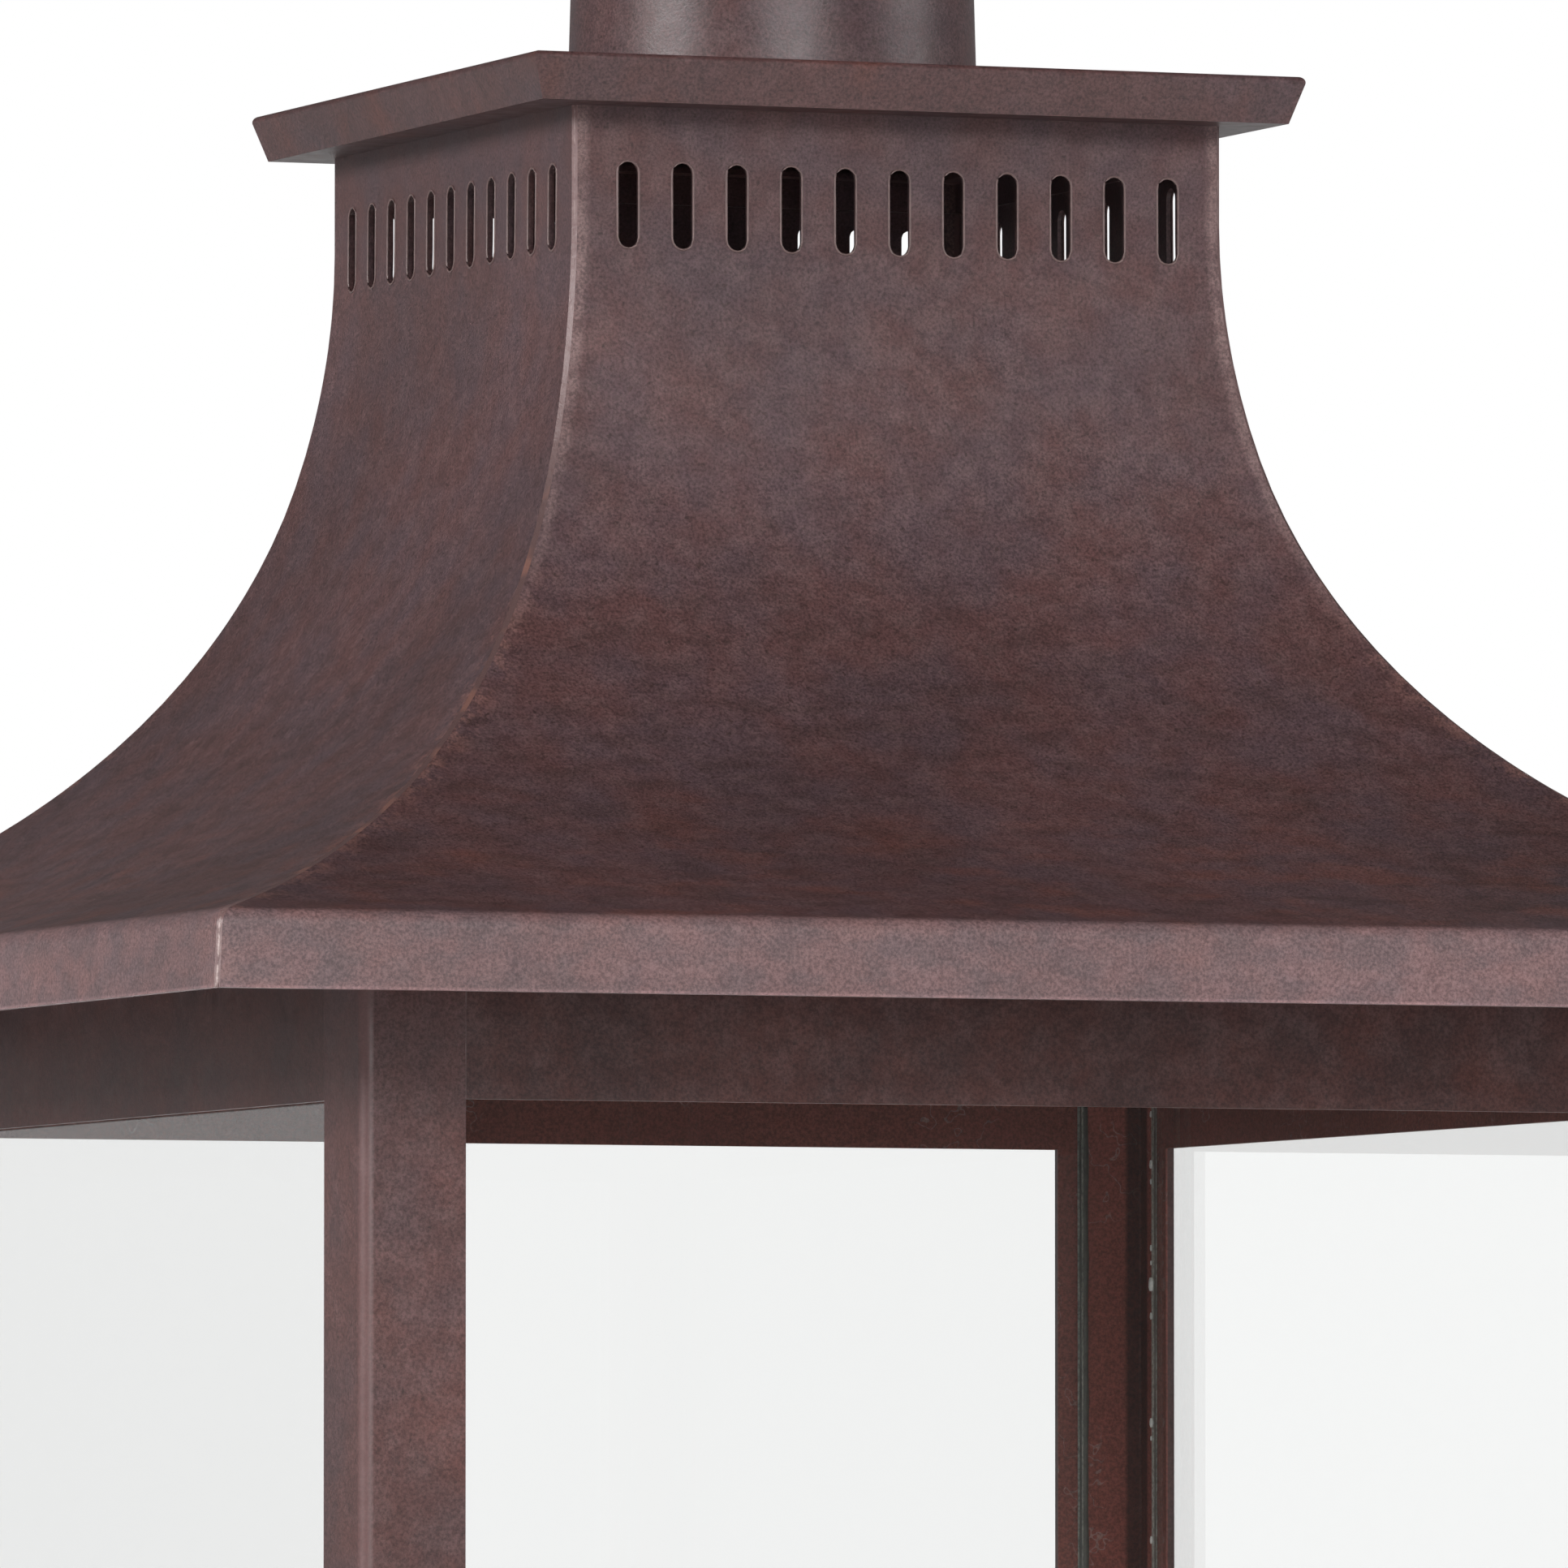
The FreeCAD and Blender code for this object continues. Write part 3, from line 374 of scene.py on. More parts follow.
class Spot:
    """Measures of the place being shaded: its height, how far it is from the axis, and the unfolded sheet.

    reach and inset are the larger and the smaller of its distances from the middle planes, and on_front
    is above zero on the front and back panels, below zero on the side ones, and zero on the hips.
    """

    def __init__(self, tree, place):
        x, y, self.z = add(tree, "ShaderNodeSeparateXYZ", {0: place}).outputs
        side_x = math_of(tree, "ABSOLUTE", x)
        side_y = math_of(tree, "ABSOLUTE", y)
        self.reach = math_of(tree, "MAXIMUM", side_x, side_y)
        self.inset = math_of(tree, "MINIMUM", side_x, side_y)
        self.on_front = math_of(tree, "SUBTRACT", side_y, side_x)
        faces_front = math_of(tree, "GREATER_THAN", self.on_front, 0.0)
        faces_side = math_of(tree, "SUBTRACT", 1.0, faces_front)
        along = math_of(tree, "ADD", product(tree, x, faces_front), product(tree, y, faces_side))
        up = math_of(tree, "SUBTRACT", self.z, self.reach)
        self.sheet = add(tree, "ShaderNodeCombineXYZ", {0: along, 1: up, 2: faces_front}).outputs[0]


# Materials


def bronze(
    name,
    tone=1.0,
    clouds=(BRONZE_RED, BRONZE_GREY),
    redness=0.0,
    rusty=0.35,
    on_roof=False,
    in_cage=False,
):
    """Brown patina on copper sheet: soft grey and pink clouds, mottles, bands and fine grain, with painted
    light and shade on the roof and in the cage.
    """
    material, tree, shader, place = new_material(name)
    spot = Spot(tree, place)
    cloud = noise(tree, place, 15 * MM, detail=3)
    broad = noise(tree, place, 60 * MM, detail=1)
    mottles = noise(tree, place, 4 * MM, detail=4, roughness=0.65)
    stains = noise(tree, place, 3.4 * MM, detail=4, roughness=0.6)
    bands = noise(tree, spot.sheet, 6 * MM, detail=4, stretch=(1.6, 0.9, 0.01))
    rust = noise(tree, spot.sheet, 13 * MM, detail=4, stretch=(1.2, 0.8, 0.01))
    grain = noise(tree, place, 0.5 * MM, roughness=0.7)
    pinholes = noise(tree, place, 1.1 * MM, detail=1)
    banded = mapped(tree, spot.z, *LOW_ROOF_BANDS) if on_roof else 0.3
    rusted = mapped(tree, spot.reach, *RUST_REACH, 0.12, 1.0) if on_roof else rusty
    base = mix_colour(tree, mapped(tree, cloud, 0.32 + redness, 0.68 + redness), *clouds)
    base = layered(
        tree,
        base,
        (mapped(tree, mottles, 0.42, 0.72, 0, 0.30), BRONZE_PINK),
        (mapped(tree, stains, 0.50, 0.76, 0, 0.30), BRONZE_DARK),
        (mapped(tree, pinholes, 0.66, 0.74, 0, 0.60), BRONZE_DARK),
        (product(tree, mapped(tree, bands, 0.45, 0.70, 0, 0.42), banded), BRONZE_DARK),
        (product(tree, mapped(tree, rust, 0.50, 0.72, 0, 0.38), rusted), BRONZE_RUST),
    )
    broad_light = mapped(tree, broad, 0.3, 0.7, 0.90, 1.10)
    light = product(tree, broad_light, mapped(tree, grain, 0.25, 0.75, 0.62, 1.38), tone)
    if on_roof:
        base, light = roof_wear_and_painted_light(tree, spot, mottles, base, light)
    base = scaled_colour(tree, base, light)
    roughness = mapped(tree, mottles, 0.3, 0.7, 0.36, 0.46)
    if in_cage:
        # Painted highlight: pink along the cage's corner bends.
        corner_highlight = mapped(tree, spot.inset, CAGE_HALF - 2.4 * MM, CAGE_HALF - 1.0 * MM, 0, 0.65)
        inside = math_of(tree, "LESS_THAN", spot.reach, CAGE_HALF - 0.8 * FRAME_SHEET)
        inside_finish_and_light = raw_sheet_and_painted_light(tree, place, spot, light)
        base = layered(tree, base, (corner_highlight, BRONZE_PINK), (inside, inside_finish_and_light))
        roughness = math_of(tree, "ADD", roughness, product(tree, inside, 0.3))
    height = math_of(tree, "ADD", product(tree, mottles, 0.3), product(tree, grain, 0.12))
    set_shader(tree, shader, Base_Color=base, Roughness=roughness, Normal=bump(tree, height, 0.15 * MM))
    return material


def raw_sheet_and_painted_light(tree, place, spot, light):
    """The thinner, redder finish inside the cage, brightened as painted light most towards the top, with
    painted shade in its corners and marks of dried flux.
    """
    # Painted light: the redder inside sheet is brighter towards the top.
    colour = mix_colour(tree, mapped(tree, spot.z, *INSIDE_LIGHTER_HEIGHTS), INSIDE_COPPER_LOW, INSIDE_COPPER_AND_LIGHT)
    marks = math_of(tree, "ABSOLUTE", math_of(tree, "SUBTRACT", noise(tree, place, 5 * MM), 0.5))
    patches = noise(tree, place, 22 * MM, detail=1)
    marked = product(tree, mapped(tree, marks, 0.012, 0.004), mapped(tree, patches, 0.54, 0.60, 0, 0.30))
    colour = mix_colour(tree, marked, colour, FLUX)
    # Painted shade: darker towards the inside corners of the cage.
    corner_shade = mapped(tree, spot.inset, CAGE_HALF - 4.8 * MM, CAGE_HALF - 3.8 * MM, 1.0, 0.3)
    return scaled_colour(tree, colour, product(tree, light, corner_shade))


def roof_wear_and_painted_light(tree, spot, mottles, base, light):
    """The sanded solder beside each hip, and painted light: painted shade on the low roof, a painted sheen
    on the fascia and a painted highlight along its foot.
    """
    sanded = product(
        tree,
        mapped(tree, spot.on_front, -0.4 * MM, 0.0),
        mapped(tree, spot.on_front, 3.4 * MM, 1.6 * MM),
        mapped(tree, spot.z, *HIP_WORN, 0.12, 0.70),
        mapped(tree, spot.z, NECK_TOP + MM, NECK_TOP),
        mapped(tree, mottles, 0.30, 0.62, 0.35, 1.0),
    )
    copper = product(
        tree,
        mapped(tree, math_of(tree, "ABSOLUTE", spot.on_front), 7 * MM, 0.5 * MM),
        mapped(tree, spot.z, *HIP_COPPER),
        mapped(tree, mottles, 0.45, 0.60, 0.0, 0.28),
    )
    # Painted sheen on the fascia: blotches of pale grey and pink laid over the patina.
    on_fascia = product(tree, mapped(tree, spot.reach, *FASCIA_REACH), mapped(tree, spot.z, *FASCIA_HEIGHTS))
    blotches = noise(tree, spot.sheet, 6 * MM, detail=5, stretch=(1.2, 0.8, 0.01))
    fascia_sheen = mix_colour(tree, mapped(tree, blotches, 0.38, 0.62), FASCIA_SHEEN_GREY, FASCIA_SHEEN_PINK)
    fascia_sheen_amount = product(tree, on_fascia, 0.62)
    base = layered(tree, base, (sanded, SANDED_HIP), (copper, BARE_COPPER), (fascia_sheen_amount, fascia_sheen))
    # Painted shade: the low roof is darker, most on the front and back panels.
    darkest = mapped(tree, spot.on_front, -MM, MM, 0.07, 0.24)
    darker = product(tree, mapped(tree, spot.z, *LOW_ROOF_PAINTED_SHADE), darkest)
    # Painted sheen: how much brighter the fascia is, most on the front and back panels.
    gleam = mapped(tree, spot.on_front, -MM, MM, 1.32, 1.56)
    # Painted highlight: a bright line along the fascia's bottom edge.
    fascia_foot_highlight = mapped(tree, spot.z, ROOF_FOOT.z + 0.7 * MM, ROOF_FOOT.z + 0.2 * MM, 1.0, 1.5)
    light = product(tree, light, math_of(tree, "SUBTRACT", 1.0, darker))
    light = product(tree, light, mapped(tree, on_fascia, 0, 1, 1.0, gleam), fascia_foot_highlight)
    return base, light


def solder_seam(name, bright_solder):
    """Toned solder along the hips, sanded paler at the neck and the fascia, with copper patches and a
    painted sheen that fades up the hip.
    """
    material, tree, shader, place = new_material(name)
    spot = Spot(tree, place)
    mottles = noise(tree, place, 1.6 * MM, detail=4, roughness=0.65)
    patches = noise(tree, place, 9 * MM)
    at_fascia = mapped(tree, spot.z, *SEAM_AT_FASCIA)
    at_neck = mapped(tree, spot.z, *SEAM_AT_NECK)
    sanded = largest(tree, at_fascia, at_neck, 0.12)
    # Sanded spots and painted sheen: the pale spots are full low on the hips and fade to a third towards the
    # neck.
    sanded_and_sheen_spots = product(
        tree, mapped(tree, mottles, 0.35, 0.65), mapped(tree, spot.z, *SEAM_SHEEN_HEIGHTS, 1.0, 0.35)
    )
    toned = mix_colour(tree, mapped(tree, patches, 0.52, 0.66), TONED_SOLDER, TONED_COPPER)
    bright = mix_colour(tree, sanded_and_sheen_spots, BRONZE_PINK, bright_solder)
    base = mix_colour(tree, sanded, toned, bright)
    set_shader(tree, shader, Base_Color=base, Roughness=0.4, Normal=bump(tree, mottles, 0.1 * MM))
    return material


def plain(name, colour, roughness, metallic=0.0, patch=4 * MM, shade=0.75):
    """A finish with a little uneven tone and grain, down to a shade of its colour."""
    material, tree, shader, place = new_material(name)
    mottles = noise(tree, place, patch, detail=4, roughness=0.6)
    darker = tuple(c * shade for c in colour)
    base = mix_colour(tree, mapped(tree, mottles, 0.35, 0.65), darker, colour)
    set_shader(tree, shader, Base_Color=base, Metallic=metallic, Normal=bump(tree, mottles, 0.05 * MM))
    set_shader(tree, shader, Roughness=mapped(tree, mottles, 0.3, 0.7, roughness * 0.85, roughness * 1.15))
    return material


def let_lamps_through(material, tint):
    """Lets the lamps' light pass straight through a clear material."""
    tree = material.node_tree
    surface = tree.nodes["Material Output"].inputs["Surface"]
    shader = surface.links[0].from_socket
    in_shadow = add(tree, "ShaderNodeLightPath").outputs["Is Shadow Ray"]
    clear = add(tree, "ShaderNodeBsdfTransparent", {"Color": tint}).outputs[0]
    mix = add(tree, "ShaderNodeMixShader", {0: in_shadow, 1: shader, 2: clear})
    tree.links.new(mix.outputs[0], surface)


def window_glass():
    """Clear 3 mm panes with dull ground edges."""
    material, tree, shader, place = new_material("pane")
    spot = Spot(tree, place)
    upright_edge = math_of(tree, "GREATER_THAN", spot.inset, PANE_HALF - GROUND_EDGE)
    top_edge = math_of(tree, "GREATER_THAN", spot.z, PANE_TOP - GROUND_EDGE)
    bottom_edge = math_of(tree, "LESS_THAN", spot.z, PANE_BOTTOM + GROUND_EDGE)
    ground = largest(tree, upright_edge, top_edge, bottom_edge)
    mottles = noise(tree, place, 0.9 * MM, detail=3, roughness=0.7)
    grey = scaled_colour(tree, GROUND_GLASS, mapped(tree, mottles, 0.3, 0.7, 0.45, 1.25))
    set_shader(tree, shader, Base_Color=mix_colour(tree, ground, WINDOW_TINT, grey), IOR=GLASS_IOR)
    set_shader(tree, shader, Roughness=product(tree, ground, 0.7))
    set_shader(tree, shader, Transmission_Weight=mapped(tree, ground, 0, 1, 1.0, 0.25))
    let_lamps_through(material, WINDOW_SHADOW)
    return material


def clear_glass(name):
    """Thin clear glass, a little wavy in its gloss."""
    material, tree, shader, place = new_material(name)
    set_shader(tree, shader, Base_Color=WHITE, IOR=GLASS_IOR, Transmission_Weight=1.0)
    set_shader(tree, shader, Roughness=mapped(tree, noise(tree, place, 5 * MM), 0.3, 0.7, 0.0, 0.02))
    let_lamps_through(material, BULB_SHADOW)
    return material


def make_finishes():
    """Each finish, by the record's material slot or by a name in BRONZE_PIECES."""
    return {
        "bronze_patina": bronze("bronze", on_roof=True),
        "frame_bronze": bronze("frame_bronze", clouds=POST_CLOUDS, redness=0.06, in_cage=True),
        "shaded_bronze": bronze("shaded_bronze", tone=0.92, clouds=SHADED_CLOUDS, in_cage=True),
        "foot_bronze": bronze("foot_bronze", clouds=POST_CLOUDS, redness=0.06),
        "cap_bronze": bronze("cap_bronze", tone=0.83, redness=0.08, rusty=0.9),
        "solder_seam": solder_seam("seam", SANDED_SEAM),
        "window_glass": window_glass(),
        "bulb_glass": clear_glass("bulb"),
        "candle_sleeve": plain("ivory_sleeve", IVORY, 0.45, patch=25 * MM, shade=0.93),
        "lamp_holder": plain("holder", HOLDER_BLACK, 0.35),
        "bulb_cap": plain("nickel", NICKEL, 0.3, metallic=1.0),
        "plated_steel": plain("zinc", ZINC, 0.35, metallic=1.0),
        "ground_brass": plain("brass", BRASS, 0.3, metallic=1.0),
        "screw_steel": plain("screw", STEEL, 0.35, metallic=1.0),
    }


def dress_nodes(finishes):
    """Gives each construction piece its finish, by the record's material slot and its name."""
    for name, node in NODES.items():
        for slot in node.material_slots:
            finish = slot.material.name.split(".")[0]
            if finish == "bronze_patina":
                own = [key for key, starts in BRONZE_PIECES.items() if name.startswith(starts)]
                finish = own[0] if own else finish
            slot.material = finishes[finish]


# Pieces


def piece(name, shape, material, body):
    """A mesh piece of the lantern that rides on a body, with the finish it is given."""
    mesh = bpy.data.meshes.new(name)
    mesh.from_pydata([tuple(v) for v in shape.vertices], [], shape.faces)
    mesh.materials.append(material)
    mesh.shade_smooth()
    made = bpy.data.objects.new(name, mesh)
    bpy.context.scene.collection.objects.link(made)
    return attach(made, body)


class Shape:
    """Vertices and faces that are gathered for one piece."""

    def __init__(self):
        self.vertices = []
        self.faces = []

    def tube(self, points, radii, sides, closed=False):
        """A round bead along points, with a radius at each, capped unless it closes on itself."""
        first = len(self.vertices)
        count = len(points)
        for i, (point, radius) in enumerate(zip(points, radii)):
            before = points[i - 1] if i or closed else points[i]
            after = points[(i + 1) % count] if i + 1 < count or closed else points[i]
            ahead = (after - before).normalized()
            helper = Vector((0, 0, 1)) if abs(ahead.z) < 0.8 else Vector((0.6, 0.8, 0))
            across = ahead.cross(helper).normalized()
            over = across.cross(ahead)
            for side in range(sides):
                angle = 2 * math.pi * side / sides
                self.vertices.append(point + (across * math.cos(angle) + over * math.sin(angle)) * radius)
        for i in range(count if closed else count - 1):
            for side in range(sides):
                a = first + i * sides + side
                b = first + i * sides + (side + 1) % sides
                c = first + (i + 1) % count * sides + (side + 1) % sides
                d = first + (i + 1) % count * sides + side
                self.faces.append((a, b, c, d))
        if not closed:
            self.faces.append(tuple(first + side for side in reversed(range(sides))))
            self.faces.append(tuple(first + (count - 1) * sides + side for side in range(sides)))

    def lathe(self, centre, profile, segments):
        """A closed loop of (radius, height) turned about an upright axis."""
        first = len(self.vertices)
        count = len(profile)
        for segment in range(segments):
            angle = 2 * math.pi * segment / segments
            out = Vector((math.cos(angle), math.sin(angle), 0))
            self.vertices += [centre + out * radius + Vector((0, 0, height)) for radius, height in profile]
        for segment in range(segments):
            for i in range(count):
                a = first + segment * count + i
                b = first + (segment + 1) % segments * count + i
                c = first + (segment + 1) % segments * count + (i + 1) % count
                d = first + segment * count + (i + 1) % count
                self.faces.append((a, b, c, d))

    def blob(self, centre, radii, rings=5, segments=8):
        """A small uneven lump."""
        first = len(self.vertices)
        for ring in range(1, rings):
            tilt = math.pi * ring / rings
            for segment in range(segments):
                angle = 2 * math.pi * segment / segments
                swell = 1 + CRUMB_UNEVEN * wave.noise(centre * CRUMB_RIPPLES + Vector((ring, segment, 0)))
                self.vertices.append(centre + Vector((
                    radii[0] * math.sin(tilt) * math.cos(angle) * swell,
                    radii[1] * math.sin(tilt) * math.sin(angle) * swell,
                    radii[2] * math.cos(tilt),
                )))
        for ring in range(rings - 2):
            for segment in range(segments):
                a = first + ring * segments + segment
                b = first + ring * segments + (segment + 1) % segments
                self.faces.append((a, a + segments, b + segments, b))
        self.faces.append(tuple(first + s for s in range(segments)))
        self.faces.append(tuple(first + (rings - 2) * segments + s for s in reversed(range(segments))))


def evenly(low, high, steps):
    """Evenly spaced values from low to high, with both ends."""
    return [low + (high - low) * step / steps for step in range(steps + 1)]


def turned_to(point, angle):
    """A point on the +X side, turned about Z by an angle in degrees."""
    a = math.radians(angle)
    x = point[0] * math.cos(a) - point[1] * math.sin(a)
    y = point[0] * math.sin(a) + point[1] * math.cos(a)
    return Vector((x, y, point[2]))


def roof_line():
    """Points of the roof's outer line in the XZ plane, from the fascia's foot to the neck's top."""
    arcs = [(radius * abs(math.radians(turn)), turn) for radius, turn in ROOF_BENDS]
    moves = [(FASCIA_RUN, 0), arcs[0], (EAVE_RUN, 0), *arcs[1:], (NECK_RUN, 0)]
    place = ROOF_FOOT.copy()
    heading = math.radians(FASCIA_HEADING)
    line = [place.copy()]
    for length, turn in moves:
        steps = max(6, round(length / LINE_STEP))
        half = math.radians(turn) / steps / 2
        for _ in range(steps):
            heading += half
            place = place + Vector((math.cos(heading), 0, math.sin(heading))) * (length / steps)
            heading += half
            line.append(place)
    return line


ROOF_LINE = roof_line()
NECK_HALF = ROOF_LINE[-1].x
NECK_TOP = ROOF_LINE[-1].z


def roof_reach(z):
    """How far out the roof's outer face lies at a height."""
    for low, high in zip(ROOF_LINE, ROOF_LINE[1:]):
        if low.z <= z <= high.z:
            return low.x + (high.x - low.x) * (z - low.z) / (high.z - low.z)
    return NECK_HALF


def hip_bead_radius(z, angle):
    """The bead is full on the fascia and the neck, with a drip at its foot, and broken between."""
    ripple = wave.noise(Vector((angle, 0, z * HIP_RIPPLES)))
    rough = wave.noise(Vector((angle, 3, z * HIP_BREAKS)))
    if z < EAVE_TOP:
        drip = max(0.0, 1 - (z - ROOF_FOOT.z) / DRIP_RISE)
        return FASCIA_BEAD + FASCIA_BEAD_RIPPLE * ripple + DRIP_RADIUS * drip
    low, high = HIP_WORN
    full = min(1.0, max(0.0, (z - low) / (high - low)))
    radius = HIP_BEAD_WORN + (HIP_BEAD_FULL - HIP_BEAD_WORN) * full
    return max(HIP_BEAD_LEAST, radius + HIP_BEAD_RIPPLE * ripple + (1 - full) * HIP_BEAD_BREAK * rough)


def hip_beads(material):
    """The proud line of solder along each hip, from the neck down to the fascia's foot."""
    for corner, angle in CORNERS.items():
        reaches = [math.sqrt(2) * point.x - SEAM_WIDTH / 2 - HIP_BEAD_SINK for point in ROOF_LINE]
        points = [turned_to((reach, 0, point.z), angle) for reach, point in zip(reaches, ROOF_LINE)]
        shape = Shape()
        shape.tube(points, [hip_bead_radius(point.z, angle) for point in ROOF_LINE], BEAD_SIDES)
        piece("hip_bead_" + corner, shape, material, BODY_OF["hip_seams"])


def slot_outline(y):
    """Points round one vent slot on the neck's outer face."""
    centre = NECK_TOP - SLOT_TOP_MARGIN - SLOT_HEIGHT / 2
    radius = SLOT_WIDTH / 2
    rise = SLOT_HEIGHT / 2 - radius
    outline = []
    for end in (1, -1):
        for turn in evenly(0, math.pi, SLOT_END_STEPS):
            angle = turn + (0 if end > 0 else math.pi)
            outline.append((y + radius * math.cos(angle), centre + end * rise + radius * math.sin(angle)))
    return outline


def slot_rims(material):
    """The soft raised edge that punching leaves round each vent slot."""
    first = -SLOT_PITCH * (SLOT_COUNT - 1) / 2
    for side, angle in SIDES.items():
        shape = Shape()
        for slot in range(SLOT_COUNT):
            outline = slot_outline(first + slot * SLOT_PITCH)
            points = [turned_to((roof_reach(z), y, z), angle) for y, z in outline]
            radii = [RIM_RADIUS * (1 + RIM_UNEVEN * wave.noise(p * RIM_RIPPLES)) for p in points]
            shape.tube(points, radii, FINE_BEAD_SIDES, closed=True)
        piece("slot_rims_" + side, shape, material, BODY_OF["roof_panel_" + side])


def joint_beads(material):
    """The thin solder lines where the rails meet the corner posts."""
    at_top = (CAGE_TOP - RAIL_HEIGHT, CAGE_TOP - JOINT_BEAD_MARGIN)
    at_foot = (CAGE_BOTTOM + JOINT_BEAD_MARGIN, CAGE_BOTTOM + RAIL_HEIGHT)
    for side, angle in SIDES.items():
        shape = Shape()
        for span in (at_top, at_foot):
            for y in (-WINDOW_HALF, WINDOW_HALF):
                heights = evenly(*span, JOINT_BEAD_STEPS)
                points = [turned_to((CAGE_HALF - JOINT_BEAD_SINK, y, z), angle) for z in heights]
                radii = [JOINT_BEAD + JOINT_BEAD_RIPPLE * wave.noise(p * JOINT_RIPPLES) for p in points]
                shape.tube(points, radii, FINE_BEAD_SIDES)
        piece("joint_beads_" + side, shape, material, BODY_OF["top_rail_" + side])


def sealant_beads(material):
    """The bead of sealant between each pane's upright edges and the corner posts."""
    reach = CAGE_HALF - FRAME_SHEET - SEALANT_SINK
    heights = evenly(PANE_BOTTOM, PANE_TOP, SEALANT_STEPS)
    for side, angle in SIDES.items():
        shape = Shape()
        for sign in (-1, 1):
            points = [turned_to((reach, sign * (PANE_HALF + SEALANT_GAP), z), angle) for z in heights]
            ripples = [wave.noise(Vector((angle, sign, z * SEALANT_RIPPLES))) for z in heights]
            radii = [SEALANT_RADIUS * (1 + SEALANT_UNEVEN * ripple) for ripple in ripples]
            shape.tube(points, radii, BEAD_SIDES)
        piece("sealant_" + side, shape, material, BODY_OF["glass_pane_" + side])


def sealant_specks(material):
    """White crumbs of sealant on the right pane, in the back corner."""
    shape = Shape()
    for height, size in CRUMBS:
        centre = Vector((PANE_FACE - CRUMB_SINK, PANE_HALF - CRUMB_INSET, height * MM))
        shape.blob(centre, [share * size * MM for share in CRUMB_SHAPE])
    piece("sealant_specks", shape, material, BODY_OF["glass_pane_right"])


def smooth_profile(points, steps=5):
    """A Catmull-Rom curve through (radius, height) points."""
    ends = [points[0], *points, points[-1]]
    curve = []
    for four in zip(ends, ends[1:], ends[2:], ends[3:]):
        for step in range(steps):
            curve.append(tuple(catmull_rom(*coordinates, step / steps) for coordinates in zip(*four)))
    return [*curve, points[-1]]


def catmull_rom(p, q, r, s, t):
    """The curve's value at a share t of the way from q to r, between the neighbours p and s."""
    square = (2 * p - 5 * q + 4 * r - s) * t**2
    cube = (3 * q - p - 3 * r + s) * t**3
    return 0.5 * (2 * q + (r - p) * t + square + cube)


def bulb_shell(foot, radius, height):
    """The bulb's glass, with a wall of real thickness."""
    outer = smooth_profile([(r * radius, h * height) for r, h in BULB_OUTLINE])
    inner = [(max(r - BULB_WALL, 0.01 * MM), min(h, height - BULB_WALL)) for r, h in reversed(outer)]
    shape = Shape()
    shape.lathe(foot, outer + inner, BULB_SEGMENTS)
    return shape


def bulb_stem(foot, height):
    """The glass stem that carries the wires."""
    top = STEM_TOP_SHARE * height
    profile = [
        (NEAR_AXIS, 0),
        (STEM_FOOT_RADIUS, 0),
        (STEM_WAIST_RADIUS, STEM_WAIST_SHARE * height),
        (STEM_TOP_RADIUS, top),
        (NEAR_AXIS, top + MM),
    ]
    shape = Shape()
    shape.lathe(foot, profile, STEM_SEGMENTS)
    return shape


def bulb_wires(foot, height):
    """Two support wires and a folded filament between them."""
    shape = Shape()
    low = STEM_TOP_SHARE * height
    top = FILAMENT_TOP_SHARE * height
    for sign in (-1, 1):
        rise = []
        for share in SUPPORT_SHARES:
            z = low - SUPPORT_SINK + (top - low) * share
            rise.append(foot + Vector((sign * share * SUPPORT_SPREAD, 0, z)))
        shape.tube(rise, [SUPPORT_RADIUS] * len(rise), BEAD_SIDES)
    folds = []
    for share in evenly(0, 1, FILAMENT_FOLDS * STEPS_PER_FOLD):
        swing = math.cos(math.pi * FILAMENT_FOLDS * share)
        z = top - FILAMENT_DROP - FILAMENT_FOLD * (0.5 - 0.5 * swing)
        folds.append(foot + Vector(((2 * share - 1) * FILAMENT_HALF, FILAMENT_DEPTH * swing, z)))
    shape.tube(folds, [FILAMENT_RADIUS] * len(folds), FINE_BEAD_SIDES)
    return shape


def bulbs(glass, wire):
    """Clear torpedo bulbs, each with a glass stem, two wires and a folded filament."""
    for number in range(1, BULB_COUNT + 1):
        node = "bulb_glass_%d" % number
        body = BODY_OF[node]
        low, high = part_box(node)
        foot = Vector(((low.x + high.x) / 2, (low.y + high.y) / 2, low.z))
        radius = (high.x - low.x) / 2
        height = high.z - low.z
        made = piece("bulb_%d" % number, bulb_shell(foot, radius, height), glass, body)
        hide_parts(node)
        piece("bulb_stem_%d" % number, bulb_stem(foot, height), glass, body)
        piece("bulb_wires_%d" % number, bulb_wires(foot, height), wire, body)


# Light, floor and camera


def area_light(name, azimuth, elevation, width, height, watts, in_gloss):
    """A soft rectangular lamp that faces the lantern's middle from an azimuth and elevation."""
    a = math.radians(azimuth)
    e = math.radians(elevation)
    back = Vector((math.sin(a) * math.cos(e), -math.cos(a) * math.cos(e), math.sin(e)))
    data = bpy.data.lights.new(name, "AREA")
    data.shape = "RECTANGLE"
    data.size = width
    data.size_y = height
    data.energy = watts
    lamp = bpy.data.objects.new(name, data)
    lamp.location = (cad_box[0] + cad_box[1]) / 2 + back * LAMP_DISTANCE
    lamp.rotation_mode = "QUATERNION"
    lamp.rotation_quaternion = (-back).to_track_quat("-Z", "Y")
    lamp.visible_camera = False
    lamp.visible_transmission = False
    lamp.visible_glossy = in_gloss
    bpy.context.scene.collection.objects.link(lamp)


